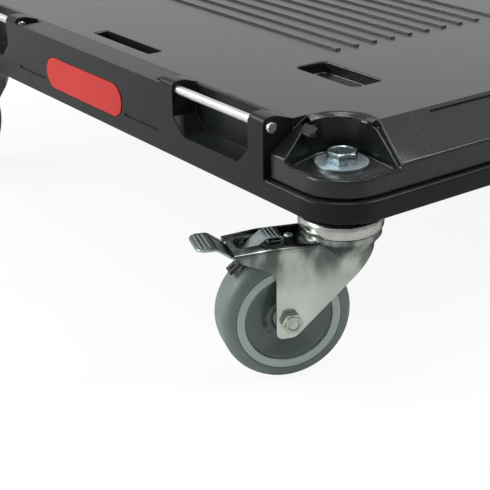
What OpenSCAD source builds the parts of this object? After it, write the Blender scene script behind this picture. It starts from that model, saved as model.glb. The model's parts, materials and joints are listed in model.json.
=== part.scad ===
// Toolbox dolly: a moulded platform with handle bays on four swivel casters, two of them braked
// Millimetres, Z up, origin on the floor in the middle of the dolly's footprint
// The long handle side with the insert and the braked casters faces -Y

/* [Platform] */
// Length of the platform along its handle sides
platform_l = 620; // [580:5:680]
// Width of the platform between its handle sides
platform_w = 472; // [440:2:520]
// Radius of the platform's corners in plan
corner_r = 36; // [30:1:40]
// Height of the skirt below the parting ledge
skirt_h = 14.3; // [12:0.1:18]
// How far the upper shell stands back from the skirt
ledge_w = 4; // [3:0.5:5]
// Height of the deck's top above the parting ledge
deck_h = 37.5; // [36:0.5:42]
// Height of the deck's upright walls above the parting ledge
wall_h = 17.5; // [16:0.5:19]
// Run of the sloped panels at the two ends
end_slope = 32; // [28:1:36]
// Run of the sloped panels beside the corner pockets
side_slope = 32; // [28:1:34]
// Thickness of the moulded walls
shell_t = 3.2; // [2.8:0.1:3.6]
// Thickness of the moulded ribs
rib_t = 2.4; // [2:0.1:3]
// Largest pitch of the ribs under the base frame
rib_pitch = 58; // [50:1:62]

/* [Handle bays] */
// Width of a bay between its posts
bay_w = 90; // [80:1:96]
// Depth of a bay behind the face of the platform
bay_d = 20; // [18:0.5:22]
// Height of a bay's floor above the parting ledge
bay_floor = 4; // [3.5:0.5:6]
// Size of the chamfers at the lower corners of a bay
bay_chamfer = 12.5; // [8:0.5:14]
// Width of a handle post
post_w = 16.7; // [14:0.1:18]
// Height of the posts above the deck's top
post_rise = 4; // [3:0.5:6]
// Diameter of the steel handle rods
rod_d = 6.4; // [5:0.2:8]
// How far a rod's head stands out of its post
rod_end = 3.4; // [2:0.2:4]
// Depth of the rod's centre behind the face of the platform
rod_y = 5.2; // [4.5:0.1:7]
// Height of the rod's centre above the parting ledge
rod_z = 35; // [33:0.1:36]
// Length of the plain front insert
insert_l = 118; // [100:1:130]
// Height of the plain front insert
insert_h = 26; // [20:1:28]

/* [Corner pockets] */
// Distance of a swivel's axis from the platform's end
inset_x = 42; // [40:0.5:46]
// Distance of a swivel's axis from the platform's handle side
inset_y = 40; // [38:0.5:44]
// Radius of a pocket's round back wall at its floor
pocket_r = 22; // [21:0.5:23]
// Height of a pocket's floor above the parting ledge
pocket_floor = 11.2; // [10:0.1:12]
// How far a pocket's walls lean outwards up to the deck's top
pocket_draft = 2.8; // [1.5:0.1:3]

/* [Wheels] */
// Diameter of a wheel over its tyre
wheel_d = 90; // [84:1:96]
// Width of a tyre
tyre_w = 30.4; // [28:0.2:32]
// Radius of a tyre's shoulders
tyre_shoulder = 8; // [5:0.5:10]
// Outer diameter of the wheel's rim ring
ring_od = 72; // [68:1:76]
// Inner diameter of the wheel's rim ring
ring_id = 60.8; // [58:0.2:64]
// Width over the rim rings
ring_w = 31.2; // [30:0.1:32.2]
// Diameter of the axle bolt
axle_d = 8; // [6:0.5:9]
// Outer diameter of the axle sleeve
sleeve_d = 12; // [11:0.5:13]

/* [Forks] */
// Distance from the swivel's axis to the wheel's axle
trail = 40.7; // [38:0.1:44]
// Gap between the tyre and the fork's arm
tyre_gap = 6.4; // [5:0.2:9]
// Thickness of the fork's sheet
sheet_t = 2.2; // [2:0.1:2.6]
// Gap between the fork's legs
leg_gap = 33.2; // [32.8:0.2:35]
// Reach of the fork's arm from the swivel's axis
arm_reach = 78.2; // [76:0.2:80]
// Diameter of the fork's crown
crown_d = 54.8; // [52:0.2:56]
// Width of the window in the fork's arm
window_w = 17; // [16:0.5:19]

/* [Swivels] */
// Diameter of the upper race cup
cup_d = 57.4; // [57:0.2:60]
// Diameter of the bolt that holds a caster
bolt_d = 12; // [10:0.5:12.5]
// Width of the bolt's head and nut across their flats
bolt_flats = 19; // [17:0.5:20]
// Diameter of the washer under a bolt's head
washer_d = 36; // [30:1:38]
// Angle by which the casters toe in at rest
rest_toe = 20.1; // [0:0.1:30]

/* [Brakes] */
// Distance from the swivel's axis to the pedal's pivot
pivot_s = 64; // [63:0.2:65]
// Reach of the pedal's tip from the swivel's axis
pedal_reach = 101.5; // [99:0.5:103]
// Width of the pedal's foot plate
pedal_w = 29.5; // [27:0.5:30]
// Gap between the brake shoe and the tyre at rest
shoe_gap = 3; // [2:0.1:3.4]

/* [Hidden] */
$fn = 64;

// Clearances: press fits touch, running fits turn, and loose fits are for bolts in their holes
run_gap = 0.05;
loose_gap = 0.3;
seat_gap = 0.3;
cut = 1;

// Casters as [side along X, side along Y]; the front ones, at -Y, carry the brakes
FR = [1, -1];
FL = [-1, -1];
RR = [1, 1];
RL = [-1, 1];

// Caster heights, from the floor up
wheel_r = wheel_d / 2;
axle_z = wheel_r;
arm_z = wheel_d + tyre_gap;
arm_top = arm_z + sheet_t;
rim_top = arm_top + 2.3;
hub_rise = 6;
hub_top = arm_top + hub_rise;
hub_under = hub_top - sheet_t;
upper_ball_d = 6.35;
upper_groove = 1.05;
upper_pitch_r = crown_d / 2 - 5.2;
upper_ball_z = hub_top - upper_groove + upper_ball_d / 2;
cup_under = upper_ball_z + upper_ball_d / 2 + seat_gap;
cup_top = cup_under + sheet_t;
lower_ball_d = 5;
lower_groove = 0.6;
lower_pitch_r = 14.5;
lower_ball_z = hub_under + lower_groove - lower_ball_d / 2;
lower_race_top = lower_ball_z - lower_ball_d / 2 - seat_gap;
lower_race_z = lower_race_top - sheet_t;
lower_race_r = 18.5;
tube_r = bolt_d / 2 + 3.25;

// Platform heights, from the floor up
boss_drop = 6.3;
skirt_z = cup_top + boss_drop;
ledge_z = skirt_z + skirt_h;
wall_top = ledge_z + wall_h;
deck_top = ledge_z + deck_h;
floor_z = ledge_z + pocket_floor;
pocket_floor_t = 4;
boss_r = 23;
plate_t = 3;

// Platform plan, about its own middle
half_l = platform_l / 2;
half_w = platform_w / 2;
swivel_x = half_l - inset_x;
swivel_y = half_w - inset_y;
seam = 0.9;
block_x = swivel_x - inset_x + ledge_w + 7;
post_x = block_x - seam;
bay_x1 = post_x - post_w;
bay_x0 = bay_x1 - bay_w;
beam_x = bay_x0 - post_w;
deck_back = bay_d + shell_t + 0.3;

// Fork outline, along the arm and up
leg_out = leg_gap / 2 + sheet_t;
foot_back = 9.9;
foot_front = 3.4;
foot_below = 12.6;
nose_s = -32;
nose_centre = -4;
flange_root_drop = 18.2;
flange_tip_drop = 8.4;
taper_s = 54;
arm_end_drop = 1.9;
arm_end_half = leg_out - 1.2;
window_s0 = 40;
window_s1 = arm_reach - 4.8;

// Brake parts, along the arm and up
pedal_t = 1.6;
pivot_z = arm_z - 5.2;
pin_r = 2;
lug_r = 3.4;
lug_t = 2.3;
lever_z = arm_z - 4.8;
tab_w = window_w - 1.4;
tab_z = lever_z + 10;
pad_z = lever_z + 9.1;
lever_half = leg_gap / 2 - 3.4;
lug_drop = 1.2;
lever_s0 = pivot_s + 1.6;
shoe_half = 4.5;
rivet_s = 36.6;

// Where the platform's middle lies, so that the footprint is centred on the origin
pedal_round = 7;
front_reach = (pedal_reach - pedal_round) * cos(rest_toe)
    + (pedal_w / 2 - pedal_round) * sin(rest_toe) + pedal_round;
shoulder = min(tyre_shoulder, (wheel_d - ring_od) / 2 - 0.9);
rear_reach = (trail + wheel_r - shoulder) * cos(rest_toe)
    + (tyre_w / 2 - shoulder) * sin(rest_toe) + shoulder;
middle_y = (front_reach - rear_reach) / 2;

// Angle of a caster's arm at rest
function turn(at) = at.y * (90 + at.x * rest_toe);

// Points of one rounded corner b between a and c, with radius r
function corner_arc(a, b, c, r, n = 6) = r <= 0 ? [b] :
    let (u = (a - b) / norm(a - b), v = (c - b) / norm(c - b),
        half = acos(u * v) / 2, mid = (u + v) / norm(u + v),
        centre = b + mid * r / sin(half), start = b + u * r / tan(half) - centre,
        first = atan2(start.y, start.x), side = cross(u, v) > 0 ? -1 : 1)
    [for (i = [0:n]) centre + r * [cos(first + side * i * (180 - 2 * half) / n),
        sin(first + side * i * (180 - 2 * half) / n)]];

// A closed outline whose points are [x, y, corner radius]
function rounded(p) = [for (i = [0:len(p) - 1])
    each corner_arc(flat(p[(i + len(p) - 1) % len(p)]), flat(p[i]), flat(p[(i + 1) % len(p)]), p[i].z)];
function flat(p) = [p.x, p.y];

// The outline of a strip of sheet of thickness t that is bent along a path
function bent_strip(path, t) = concat(
    [for (i = [0:len(path) - 1]) path[i] + strip_offset(path, i, t / 2)],
    [for (i = [len(path) - 1:-1:0]) path[i] - strip_offset(path, i, t / 2)]);
function strip_offset(path, i, d) =
    let (back = path[max(i - 1, 0)], ahead = path[min(i + 1, len(path) - 1)],
        u = i == 0 ? ahead - path[i] : path[i] - back,
        v = i == len(path) - 1 ? path[i] - back : ahead - path[i],
        nu = [-u.y, u.x] / norm(u), nv = [-v.y, v.x] / norm(v), m = (nu + nv) / norm(nu + nv))
    m * d / (m * nu);

// Placing helpers
module platform_frame() translate([0, middle_y, 0]) children();
module mirror_x() { children(); mirror([1, 0, 0]) children(); }
module mirror_y() { children(); mirror([0, 1, 0]) children(); }
module mirror_z() { children(); mirror([0, 0, 1]) children(); }
module each_corner() platform_frame() mirror_x() mirror_y()
    translate([swivel_x, swivel_y, 0]) children();
module caster(at) platform_frame() translate([at.x * swivel_x, at.y * swivel_y, 0])
    rotate([0, 0, turn(at)]) children();
module on_axle() translate([trail, 0, axle_z]) rotate([90, 0, 0]) children();
module across(w) rotate([90, 0, 0]) linear_extrude(w, center = true) children();
module prism_y(y0, y1) translate([0, y1, 0]) rotate([90, 0, 0]) linear_extrude(y1 - y0) children();
module prism_x(x0, x1) translate([x0, 0, 0]) rotate([90, 0, 90]) linear_extrude(x1 - x0) children();
module slab(z0, z1) translate([0, 0, z0]) linear_extrude(z1 - z0) children();
module tube(r_out, r_in, z0, z1) translate([0, 0, z0]) difference() {
    cylinder(r = r_out, h = z1 - z0);
    translate([0, 0, -cut]) cylinder(r = r_in, h = z1 - z0 + 2 * cut);
}
module hexagon(flats, h) cylinder(r = flats / sqrt(3), h = h, $fn = 6);

// Plan of the platform, drawn in by an inset
module plan(inset = 0) polygon(rounded([
    [half_l - inset, half_w - inset, corner_r - inset],
    [inset - half_l, half_w - inset, corner_r - inset],
    [inset - half_l, inset - half_w, corner_r - inset],
    [half_l - inset, inset - half_w, corner_r - inset]]));

// Front view of a bay's opening, from its floor up past the posts
module bay_opening(grow = 0) polygon([
    [bay_x0 + bay_chamfer - grow * 0.4, ledge_z + bay_floor - grow],
    [bay_x1 - bay_chamfer + grow * 0.4, ledge_z + bay_floor - grow],
    [bay_x1 + grow, ledge_z + bay_floor + bay_chamfer - grow * 0.4],
    [bay_x1 + grow, deck_top + 3 * post_rise], [bay_x0 - grow, deck_top + 3 * post_rise],
    [bay_x0 - grow, ledge_z + bay_floor + bay_chamfer - grow * 0.4]]);

// Side view of a handle post, with its rounded top
module post_side() polygon(rounded([
    [-half_w, ledge_z - plate_t, 0], [shell_t + bay_d - half_w, ledge_z - plate_t, 0],
    [shell_t + bay_d - half_w, deck_top, 1], [11 - half_w, deck_top + post_rise, 5],
    [-half_w, deck_top + post_rise, 5]]));

// One handle side of the base frame: face, bays, posts and the middle beam, drawn at -Y
module handle_side() difference() {
    union() {
        translate([-post_x, -half_w, skirt_z]) cube([2 * post_x, shell_t, deck_top - skirt_z]);
        translate([-post_x, bay_d - half_w, ledge_z - plate_t])
            cube([2 * post_x, shell_t, deck_h + plate_t]);
        mirror_x() bay_tub();
        mirror_x() for (x = [bay_x1, beam_x]) prism_x(x, x + post_w) post_side();
        translate([-beam_x, -half_w, deck_top - shell_t])
            cube([2 * beam_x, bay_d + shell_t, shell_t]);
        for (x = rib_places(beam_end, rib_pitch)) translate([x - rib_t / 2, -half_w, ledge_z - plate_t])
            cube([rib_t, bay_d + shell_t, deck_h + plate_t]);
        mirror_x() translate([beam_end, -half_w, ledge_z - plate_t])
            cube([shell_t, bay_d + shell_t, deck_h + plate_t]);
    }
    mirror_x() prism_y(-half_w - cut, bay_d - half_w) bay_opening();
    mirror_x() rod_notch();
    mirror_x() rod_bore();
    mirror_x() panel_line();
}
notch_w = rod_end + 6;
beam_end = beam_x - notch_w - shell_t;

// The middle beam is open underneath, between its ribs
module beam_core() difference() {
    translate([-beam_end, shell_t - half_w, ledge_z - plate_t - cut])
        cube([2 * beam_end, bay_d - shell_t, deck_h / 2]);
    for (x = rib_places(beam_end, rib_pitch)) translate([x - rib_t / 2, -half_w, skirt_z])
        cube([rib_t, bay_d + shell_t, deck_h + plate_t]);
}
module bay_tub() prism_y(-half_w, bay_d - half_w + shell_t) intersection() {
    bay_opening(shell_t);
    translate([bay_x0 - shell_t, ledge_z - plate_t])
        square([bay_w + 2 * shell_t, bay_floor + bay_chamfer + 2 * shell_t]);
}
module rod_axis(r, x0, x1) translate([x0, rod_y - half_w, ledge_z + rod_z]) rotate([0, 90, 0])
    cylinder(r = r, h = x1 - x0);
module rod_bore() rod_axis(rod_d / 2, beam_x - cut, post_x + cut);
module rod_notch() {
    translate([beam_x - notch_w, shell_t - half_w, wall_top])
        cube([notch_w, bay_d - shell_t, deck_top]);
    rod_axis(rod_head_r + loose_gap, beam_x - rod_end - loose_gap, beam_x);
}
module insert_outline(grow = 0) polygon(rounded([for (c = [[1, 0], [1, 1], [-1, 1], [-1, 0]])
    [c.x * (insert_l / 2 + grow), insert_z + c.y * insert_h + (c.y * 2 - 1) * grow,
        insert_h / 2 + grow - 0.02]]));
insert_z = ledge_z - 4.2;
insert_t = 2;
module insert_recess() prism_y(-half_w - cut, insert_t - half_w) insert_outline(0.15);
module panel_line() translate([insert_l / 2 + 3.5, -half_w - cut, ledge_z])
    cube([beam_x - 3.7 - insert_l / 2 - 3.5, 1.2 + cut, 2]);

// Even places for n gaps no wider than a pitch between -a and a, ends left out
function rib_places(a, pitch) = let (n = ceil(2 * a / pitch))
    [for (i = [1:n - 1]) -a + i * 2 * a / n];

// Lower moulding: skirt, floor plate, ribs, caster bosses and handle sides
module base_frame() color([0.17, 0.17, 0.17]) platform_frame() difference() {
    union() {
        slab(ledge_z - plate_t, ledge_z) plan();
        difference() {
            slab(skirt_z, ledge_z) plan();
            slab(skirt_z - cut, ledge_z - plate_t) plan(shell_t);
        }
        intersection() {
            slab(skirt_z + 2.5, ledge_z - plate_t / 2) plan(shell_t / 2);
            under_ribs();
        }
        mirror_x() mirror_y() translate([swivel_x, swivel_y, 0])
            tube(boss_r, bolt_d / 2 + loose_gap, cup_top, floor_z - pocket_floor_t);
        mirror_y() handle_side();
    }
    mirror_x() mirror_y() translate([swivel_x, swivel_y, cup_top - cut])
        cylinder(r = bolt_d / 2 + loose_gap, h = floor_z);
    screw_places() {
        translate([0, 0, skirt_z]) cylinder(r = screw_r + loose_gap, h = deck_h);
        translate([0, 0, skirt_z]) cylinder(r = screw_head_r + 2 * loose_gap, h = screw_seat_z - skirt_z);
    }
    insert_recess();
    mirror_y() beam_core();
}
module under_ribs() {
    for (x = rib_places(half_l, rib_pitch)) translate([x - rib_t / 2, -half_w, skirt_z])
        cube([rib_t, platform_w, skirt_h]);
    for (y = rib_places(half_w, rib_pitch)) translate([-half_l, y - rib_t / 2, skirt_z])
        cube([platform_l, rib_t, skirt_h]);
    screw_places() translate([0, 0, skirt_z]) cylinder(r = screw_head_r + 3.2, h = skirt_h);
}

// Screws from below that join the two mouldings
screw_r = 2.5;
screw_head_r = 5;
screw_head_h = 3.2;
screw_l = 24;
screw_seat_z = ledge_z - plate_t - 4;
screw_inset_x = 90;
screw_inset_y = 96;
screw_x = half_l - screw_inset_x;
screw_y = half_w - screw_inset_y;
module screw_places() for (x = [-screw_x, 0, screw_x]) for (y = [-screw_y, screw_y])
    translate([x, y, 0]) children();

// Plan of a corner pocket, about the swivel's axis, opening towards +X and +Y
pocket_reach = 3 * corner_r;
pocket_shift = [-1.8, 0.5];
end_lean = 5.9;
cheek_lean = 18;
function turned(p, a) = [p.x * cos(a) - p.y * sin(a), p.x * sin(a) + p.y * cos(a)];
module pocket_plan(r) polygon(concat(
    [turned([pocket_reach, -r], end_lean)],
    [for (i = [0:24]) turned([0, -r], end_lean - i * (90 + end_lean + cheek_lean) / 24)],
    [turned([-r, pocket_reach], -cheek_lean), [pocket_reach, pocket_reach]]));

// Outer form of the deck, drawn in by an inset: end slopes, corner slopes and plan together
module deck_form(inset = 0) intersection() {
    slab(ledge_z - (inset > 0 ? cut : 0), deck_top - inset) difference() {
        plan(ledge_w + inset);
        mirror_y() translate([-block_x - inset, half_w - deck_back - inset])
            square([2 * (block_x + inset), bay_d * 2]);
    }
    prism_y(-half_w, half_w) sloped(half_l - ledge_w - inset, end_slope, inset);
    union() {
        prism_x(-half_l, half_l) sloped(half_w - ledge_w - inset, side_slope, inset);
        translate([inset - block_x, -half_w, ledge_z - cut])
            cube([2 * (block_x - inset), platform_w, deck_h + cut]);
    }
}
module sloped(reach, run, inset) polygon([
    [-reach, ledge_z - cut], [reach, ledge_z - cut], [reach, wall_top - inset * 0.4],
    [reach - run + inset * 0.4, deck_top], [run - reach - inset * 0.4, deck_top],
    [-reach, wall_top - inset * 0.4]]);

module pocket_cut() translate(pocket_shift) hull() {
    slab(floor_z, floor_z + 0.1) pocket_plan(pocket_r);
    slab(deck_top, deck_top + 0.1) pocket_plan(pocket_r + pocket_draft);
}
rim_chamfer = 3;
module rim_cut() translate([pocket_shift.x, pocket_shift.y, deck_top - rim_chamfer])
    cylinder(r1 = pocket_r + pocket_draft - 0.2, r2 = pocket_r + pocket_draft + rim_chamfer + 0.8,
        h = rim_chamfer + 1);

// A raised lip closes the pockets' floors along the platform's corners, sloping down on its inner side
lip_h = 2.8;
lip_w = 3.5;
lip_slope = 7;
module pocket_lips() intersection() {
    difference() {
        slab(floor_z - 0.5, floor_z + lip_h) plan(ledge_w);
        hull() {
            slab(floor_z - 1, floor_z - 0.9) plan(ledge_w + lip_w + lip_slope);
            slab(floor_z + lip_h, floor_z + lip_h + 0.1) plan(ledge_w + lip_w);
        }
    }
    mirror_x() mirror_y() translate([swivel_x + pocket_shift.x, swivel_y + pocket_shift.y, 0])
        slab(floor_z - 0.5, floor_z + lip_h) pocket_plan(pocket_r + 1);
}

// A latch tab overhangs each pocket's rim beside the handle post, with a notch and two ribs behind it
notch_x = -30.2;
notch_y = 5;
notch_l = 13.4;
notch_d = 6.6;
notch_z = deck_top - 7.2;
module tab_notch(grow = 0) translate([notch_x - grow, notch_y - grow, notch_z - grow])
    cube([notch_l + 2 * grow, notch_d + 2 * grow, deck_top + 2 * grow - notch_z]);
module rim_tab() {
    intersection() {
        slab(notch_z - 1.8, deck_top) polygon(rounded([[-26, 9.6, 0], [-26, 16.4, 0],
            [-15.4, 16.4, 2], [-12.2, 13.4, 2], [-13, 9.6, 1]]));
        translate([0, -swivel_y, 0]) prism_x(-half_l, half_l) sloped(half_w - ledge_w, side_slope, 0);
    }
    for (x = [1.9, 8.2]) translate([notch_x + x, notch_y - 0.5, notch_z - 0.5])
        cube([1.3, notch_d - 1.4, 3.4]);
}

// Wells in the deck that take the feet of a tool box
well_l = 66;
well_w = 28;
well_d = 9;
well_x = 176;
well_y = 122;
module well_plan(grow = 0) translate([well_x, well_y]) polygon(rounded([
    for (c = [[1, 1], [-1, 1], [-1, -1], [1, -1]])
        [c.x * (well_l / 2 + grow), c.y * (well_w / 2 + grow), 5 + grow]]));

// Latch slots in the deck's long edges
latch_l = 84;
latch_w = 13;
latch_d = 12;
module latch_plan(grow = 0) translate([-latch_l / 2 - grow, half_w - deck_back - 12 - latch_w - grow])
    square([latch_l + 2 * grow, latch_w + 2 * grow]);

// A shallow field in the middle of the deck with grip bars
field_l = 268;
field_w = 190;
field_d = 1.6;
bar_w = 5;
bar_pitch = 19;

module deck() color([0.19, 0.19, 0.19]) platform_frame() {
    difference() {
        union() {
            difference() {
                deck_form();
                difference() {
                    deck_form(shell_t);
                    deck_inside();
                }
            }
            mirror_x() end_pad();
        }
        mirror_x() mirror_y() translate([swivel_x, swivel_y, 0]) {
            pocket_cut();
            rim_cut();
            tab_notch();
            translate([0, 0, ledge_z]) cylinder(r = bolt_d / 2 + loose_gap, h = deck_h);
            translate([0, 0, ledge_z - cut])
                cylinder(r = boss_r + loose_gap, h = pocket_floor - pocket_floor_t + cut);
        }
        mirror_x() mirror_y() wall_step();
        mirror_x() end_recess();
        mirror_x() mirror_y() slab(deck_top - well_d, deck_top + cut) well_plan();
        mirror_y() slab(deck_top - latch_d, deck_top + cut) latch_plan();
        slab(deck_top - field_d, deck_top + cut) square([field_l, field_w], center = true);
        screw_places() translate([0, 0, ledge_z - cut]) cylinder(r = screw_r, h = screw_l);
    }
    pocket_lips();
    mirror_x() mirror_y() translate([swivel_x, swivel_y, 0]) rim_tab();
    for (y = rib_places(field_w / 2, bar_pitch))
        translate([12 - field_l / 2, y - bar_w / 2, deck_top - field_d - 0.5])
            cube([field_l - 24, bar_w, field_d + 0.5]);
}

// Ribs, pocket shells, well shells and screw bosses that stay when the deck is hollowed
deck_rib_pitch = 60;
module deck_inside() {
    mirror_x() mirror_y() translate([swivel_x, swivel_y, 0]) {
        translate(pocket_shift) slab(floor_z - pocket_floor_t, deck_top)
            pocket_plan(pocket_r + pocket_draft + shell_t);
        tab_notch(rib_t);
    }
    mirror_x() mirror_y() slab(deck_top - well_d - shell_t, deck_top) well_plan(shell_t);
    mirror_y() slab(deck_top - latch_d - shell_t, deck_top) latch_plan(shell_t);
    for (x = [-4.5:4.5]) translate([x * deck_rib_pitch - rib_t / 2, -half_w, ledge_z])
        cube([rib_t, platform_w, deck_h]);
    for (y = [-3:3]) translate([-half_l, y * deck_rib_pitch - rib_t / 2, ledge_z])
        cube([platform_l, rib_t, deck_h]);
    screw_places() translate([0, 0, ledge_z]) cylinder(r = screw_r + 3.2, h = deck_h);
    slab(deck_top - field_d - shell_t, deck_top)
        square([field_l + 2 * shell_t, field_w + 2 * shell_t], center = true);
}

// A narrow rebate runs down beside each pocket's end wall, before the sloped end panel starts
step_w = 25.7;
step_lean = 13.4;
step_d = 5.4;
module wall_step() intersection() {
    translate([swivel_x, swivel_y, 0]) rotate([0, 0, step_lean]) translate([-3, -step_w, floor_z])
        cube([60, 6, deck_h]);
    difference() {
        slab(floor_z + lip_h, deck_top + cut) plan(-cut);
        prism_y(-half_w, half_w) translate([0, -step_d]) sloped(half_l - ledge_w, end_slope, 0);
    }
}

// The end slopes carry a thin raised pad with a shallow grip recess in it
pad_half = swivel_y - 50;
pad_t = 0.5;
recess_half = pad_half - 16.5;
recess_d = 1.4;
pad_lean = 0.235;
slope_l = norm([end_slope, deck_h - wall_h]);
module on_end_slope() translate([half_l - ledge_w, 0, wall_top])
    rotate([0, atan2(deck_h - wall_h, end_slope), 0]) children();
module slope_outline(half, low, high) polygon([
    [-low, half - low * pad_lean], [-low, low * pad_lean - half],
    [high - slope_l, (slope_l - high) * pad_lean - half],
    [high - slope_l, half - (slope_l - high) * pad_lean]]);
module end_pad() on_end_slope() slab(-1, pad_t) slope_outline(pad_half + 7, 1.5, 1.5);
module end_recess() on_end_slope() slab(pad_t - recess_d, 6) slope_outline(recess_half + 7, 7, 3.5);

// Plain front insert and handle rods
module front_insert() color([0.75, 0.12, 0.09]) platform_frame()
    prism_y(-half_w - 0.6, insert_t - half_w) insert_outline();
module handle_rods() color([0.72, 0.73, 0.72]) platform_frame() mirror_x() mirror_y()
    handle_rod();
rod_head_r = rod_d / 2 + 0.4;
rod_head_t = rod_end - 0.6;
module handle_rod() {
    rod_axis(rod_d / 2, beam_x - rod_end, post_x + rod_end);
    for (x = [beam_x - rod_end, post_x + 0.6]) rod_axis(rod_head_r, x, x + rod_head_t);
}

module deck_screws() color([0.6, 0.61, 0.62]) platform_frame() screw_places() {
    translate([0, 0, screw_seat_z - screw_head_h]) cylinder(r = screw_head_r, h = screw_head_h);
    translate([0, 0, screw_seat_z]) cylinder(r = screw_r, h = screw_l);
}

// Fixed hardware at the four swivels
washer_t = 2;
head_h = 7.5;
nut_h = 10;
bolt_end = 4;
bolt_turn = 10;
module caster_bolts() color([0.78, 0.8, 0.82]) each_corner() {
    translate([0, 0, floor_z + washer_t]) rotate([0, 0, bolt_turn]) hexagon(bolt_flats, head_h);
    translate([0, 0, lower_race_z - nut_h - bolt_end])
        cylinder(r = bolt_d / 2, h = floor_z + washer_t - lower_race_z + nut_h + bolt_end);
}
module caster_washers() color([0.76, 0.78, 0.8]) each_corner()
    tube(washer_d / 2, bolt_d / 2 + run_gap, floor_z, floor_z + washer_t);
module caster_nuts() color([0.7, 0.71, 0.72]) each_corner() difference() {
    translate([0, 0, lower_race_z - nut_h]) hexagon(bolt_flats, nut_h);
    translate([0, 0, lower_race_z - nut_h - cut]) cylinder(r = bolt_d / 2, h = nut_h + 2 * cut);
}
module king_tubes() color([0.66, 0.67, 0.68]) each_corner()
    tube(tube_r, bolt_d / 2 + loose_gap, lower_race_z, cup_top);
module race_cups() color([0.74, 0.75, 0.74]) each_corner() rotate_extrude() polygon(
    rounded([[tube_r, cup_top, 0], [cup_r, cup_top, 5.5], [cup_r, cup_mid, 2], [cup_r - 1, cup_rim, 0],
        [cup_r - 2.6, cup_rim, 0], [cup_r - 2, cup_mid, 2], [cup_r - 2, cup_under, 3.5],
        [tube_r, cup_under, 0]]));
cup_r = cup_d / 2;
cup_rim = rim_top + seat_gap;
cup_mid = cup_rim + 2.6;
module lower_races() color([0.68, 0.69, 0.7]) each_corner()
    tube(lower_race_r, tube_r, lower_race_z, lower_race_top);

// Side view of a fork: legs, arm flanges and arm, along the arm and up
front_slope = 0.94;
module fork_side() polygon(rounded([
    [nose_s, arm_top, 0], [nose_s, axle_z - foot_below + front_slope * (trail - foot_front - nose_s), 0],
    [trail - foot_front, axle_z - foot_below, 8], [trail + foot_back, axle_z - foot_below, 5],
    [trail + foot_back, arm_top - flange_root_drop, 10], [arm_reach - 4.2, arm_top - flange_tip_drop, 4],
    [arm_reach, arm_top - arm_end_drop, 0], [taper_s, arm_top, 0]]));

// Plan of the fork, whose nose is rounded from leg to leg
module fork_plan(inset) {
    translate([nose_centre, 0]) circle(r = leg_out - inset);
    translate([nose_centre, inset - leg_out]) square([2 * arm_reach, 2 * (leg_out - inset)]);
}

// Cross-section of the bent sheet, with rounded shoulders
module fork_section(half, top, round) polygon(rounded([
    [half, 0, 0], [half, top, round], [-half, top, round], [-half, 0, 0]]));
module section_slice(s, half, top, round) translate([s, 0, 0]) rotate([90, 0, 90])
    linear_extrude(0.01) fork_section(half, top, round);
module fork_mass(inset) {
    half = leg_out - inset;
    round = 3.6 - inset;
    intersection() {
        translate([nose_s, 0, 0]) rotate([90, 0, 90]) linear_extrude(taper_s - nose_s)
            fork_section(half, arm_top - inset, round);
        slab(0, arm_top) fork_plan(inset);
    }
    hull() {
        section_slice(taper_s - 0.01, half, arm_top - inset, round);
        section_slice(arm_reach + (inset > 0 ? cut : 0), arm_end_half - inset,
            arm_top - arm_end_drop - inset, round);
    }
}

// Pressed crown: outer rim, raised ball race and the neck that flares down to the legs
crown_r = crown_d / 2;
cavity_r = crown_r - 4.6;
neck_drop = 16;
neck_z = arm_z - neck_drop;
function neck(low, high) = [for (i = [0:5])
    [low + (high - low) * pow(i / 5, 1.6), neck_z + i * neck_drop / 5]];
module crown() rotate_extrude() polygon([[0, neck_z], each neck(leg_out, crown_r - 0.6),
    [crown_r, arm_z + 0.8], [crown_r, rim_top], [crown_r - 1.7, rim_top], [crown_r - 2.1, hub_top - 1.2],
    [crown_r - 3.2, hub_top], [0, hub_top]]);
module crown_cavity() rotate_extrude() polygon([[0, neck_z - cut], [leg_gap / 2, neck_z - cut],
    each neck(leg_gap / 2, cavity_r), [cavity_r, hub_under - 1.5],
    [cavity_r - 1.5, hub_under], [0, hub_under]]);

// Rolled bead along both shoulders of the arm
bead_r = 2.2;
bead_s = 16;
bead_out = 0.8;
bead_sink = 0.2;
module shoulder_bead() {
    dip = atan2(arm_end_drop, arm_reach - taper_s);
    in_y = leg_out + bead_out - bead_r;
    bead_z = arm_top - bead_sink - bead_r;
    turn_in = atan2(arm_end_half - leg_out, arm_reach - taper_s);
    translate([bead_s, in_y, bead_z]) rotate([0, 90, 0])
        cylinder(r = bead_r, h = taper_s - bead_s, $fn = 12);
    translate([taper_s - 0.3, in_y, bead_z + 0.02]) rotate([0, 90 + dip, turn_in])
        cylinder(r = bead_r - 0.03, h = (arm_reach - taper_s) / cos(dip) - 0.1, $fn = 12);
}
module fork(at) color([0.66, 0.67, 0.65]) caster(at) difference() {
    union() {
        intersection() {
            across(4 * leg_out) fork_side();
            difference() {
                fork_mass(0);
                fork_mass(sheet_t);
            }
        }
        crown();
        mirror_y() shoulder_bead();
        if (is_braked(at)) mirror_y() pin_ear();
    }
    tyre_path();
    crown_cavity();
    translate([0, 0, arm_z]) cylinder(r = tube_r + run_gap, h = 20);
    translate([0, 0, upper_ball_z]) rotate_extrude() translate([upper_pitch_r, 0]) circle(d = upper_ball_d);
    translate([0, 0, lower_ball_z]) rotate_extrude() translate([lower_pitch_r, 0]) circle(d = lower_ball_d);
    on_axle() cylinder(r = axle_d / 2 + run_gap, h = 4 * leg_out, center = true);
    if (is_braked(at)) {
        slab(arm_z - 5, arm_top + cut) polygon(rounded([
            [window_s0, window_w / 2, 2.5], [window_s1, window_w / 2, 2.5],
            [window_s1, -window_w / 2, 2.5], [window_s0, -window_w / 2, 2.5]]));
        translate([rivet_s, 0, arm_z - 2]) cylinder(r = rivet_r, h = 8);
        translate([pivot_s, 0, pivot_z]) rotate([90, 0, 0]) cylinder(r = pin_r, h = leg_gap, center = true);
    }
}
function is_braked(at) = at.y < 0;

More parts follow.
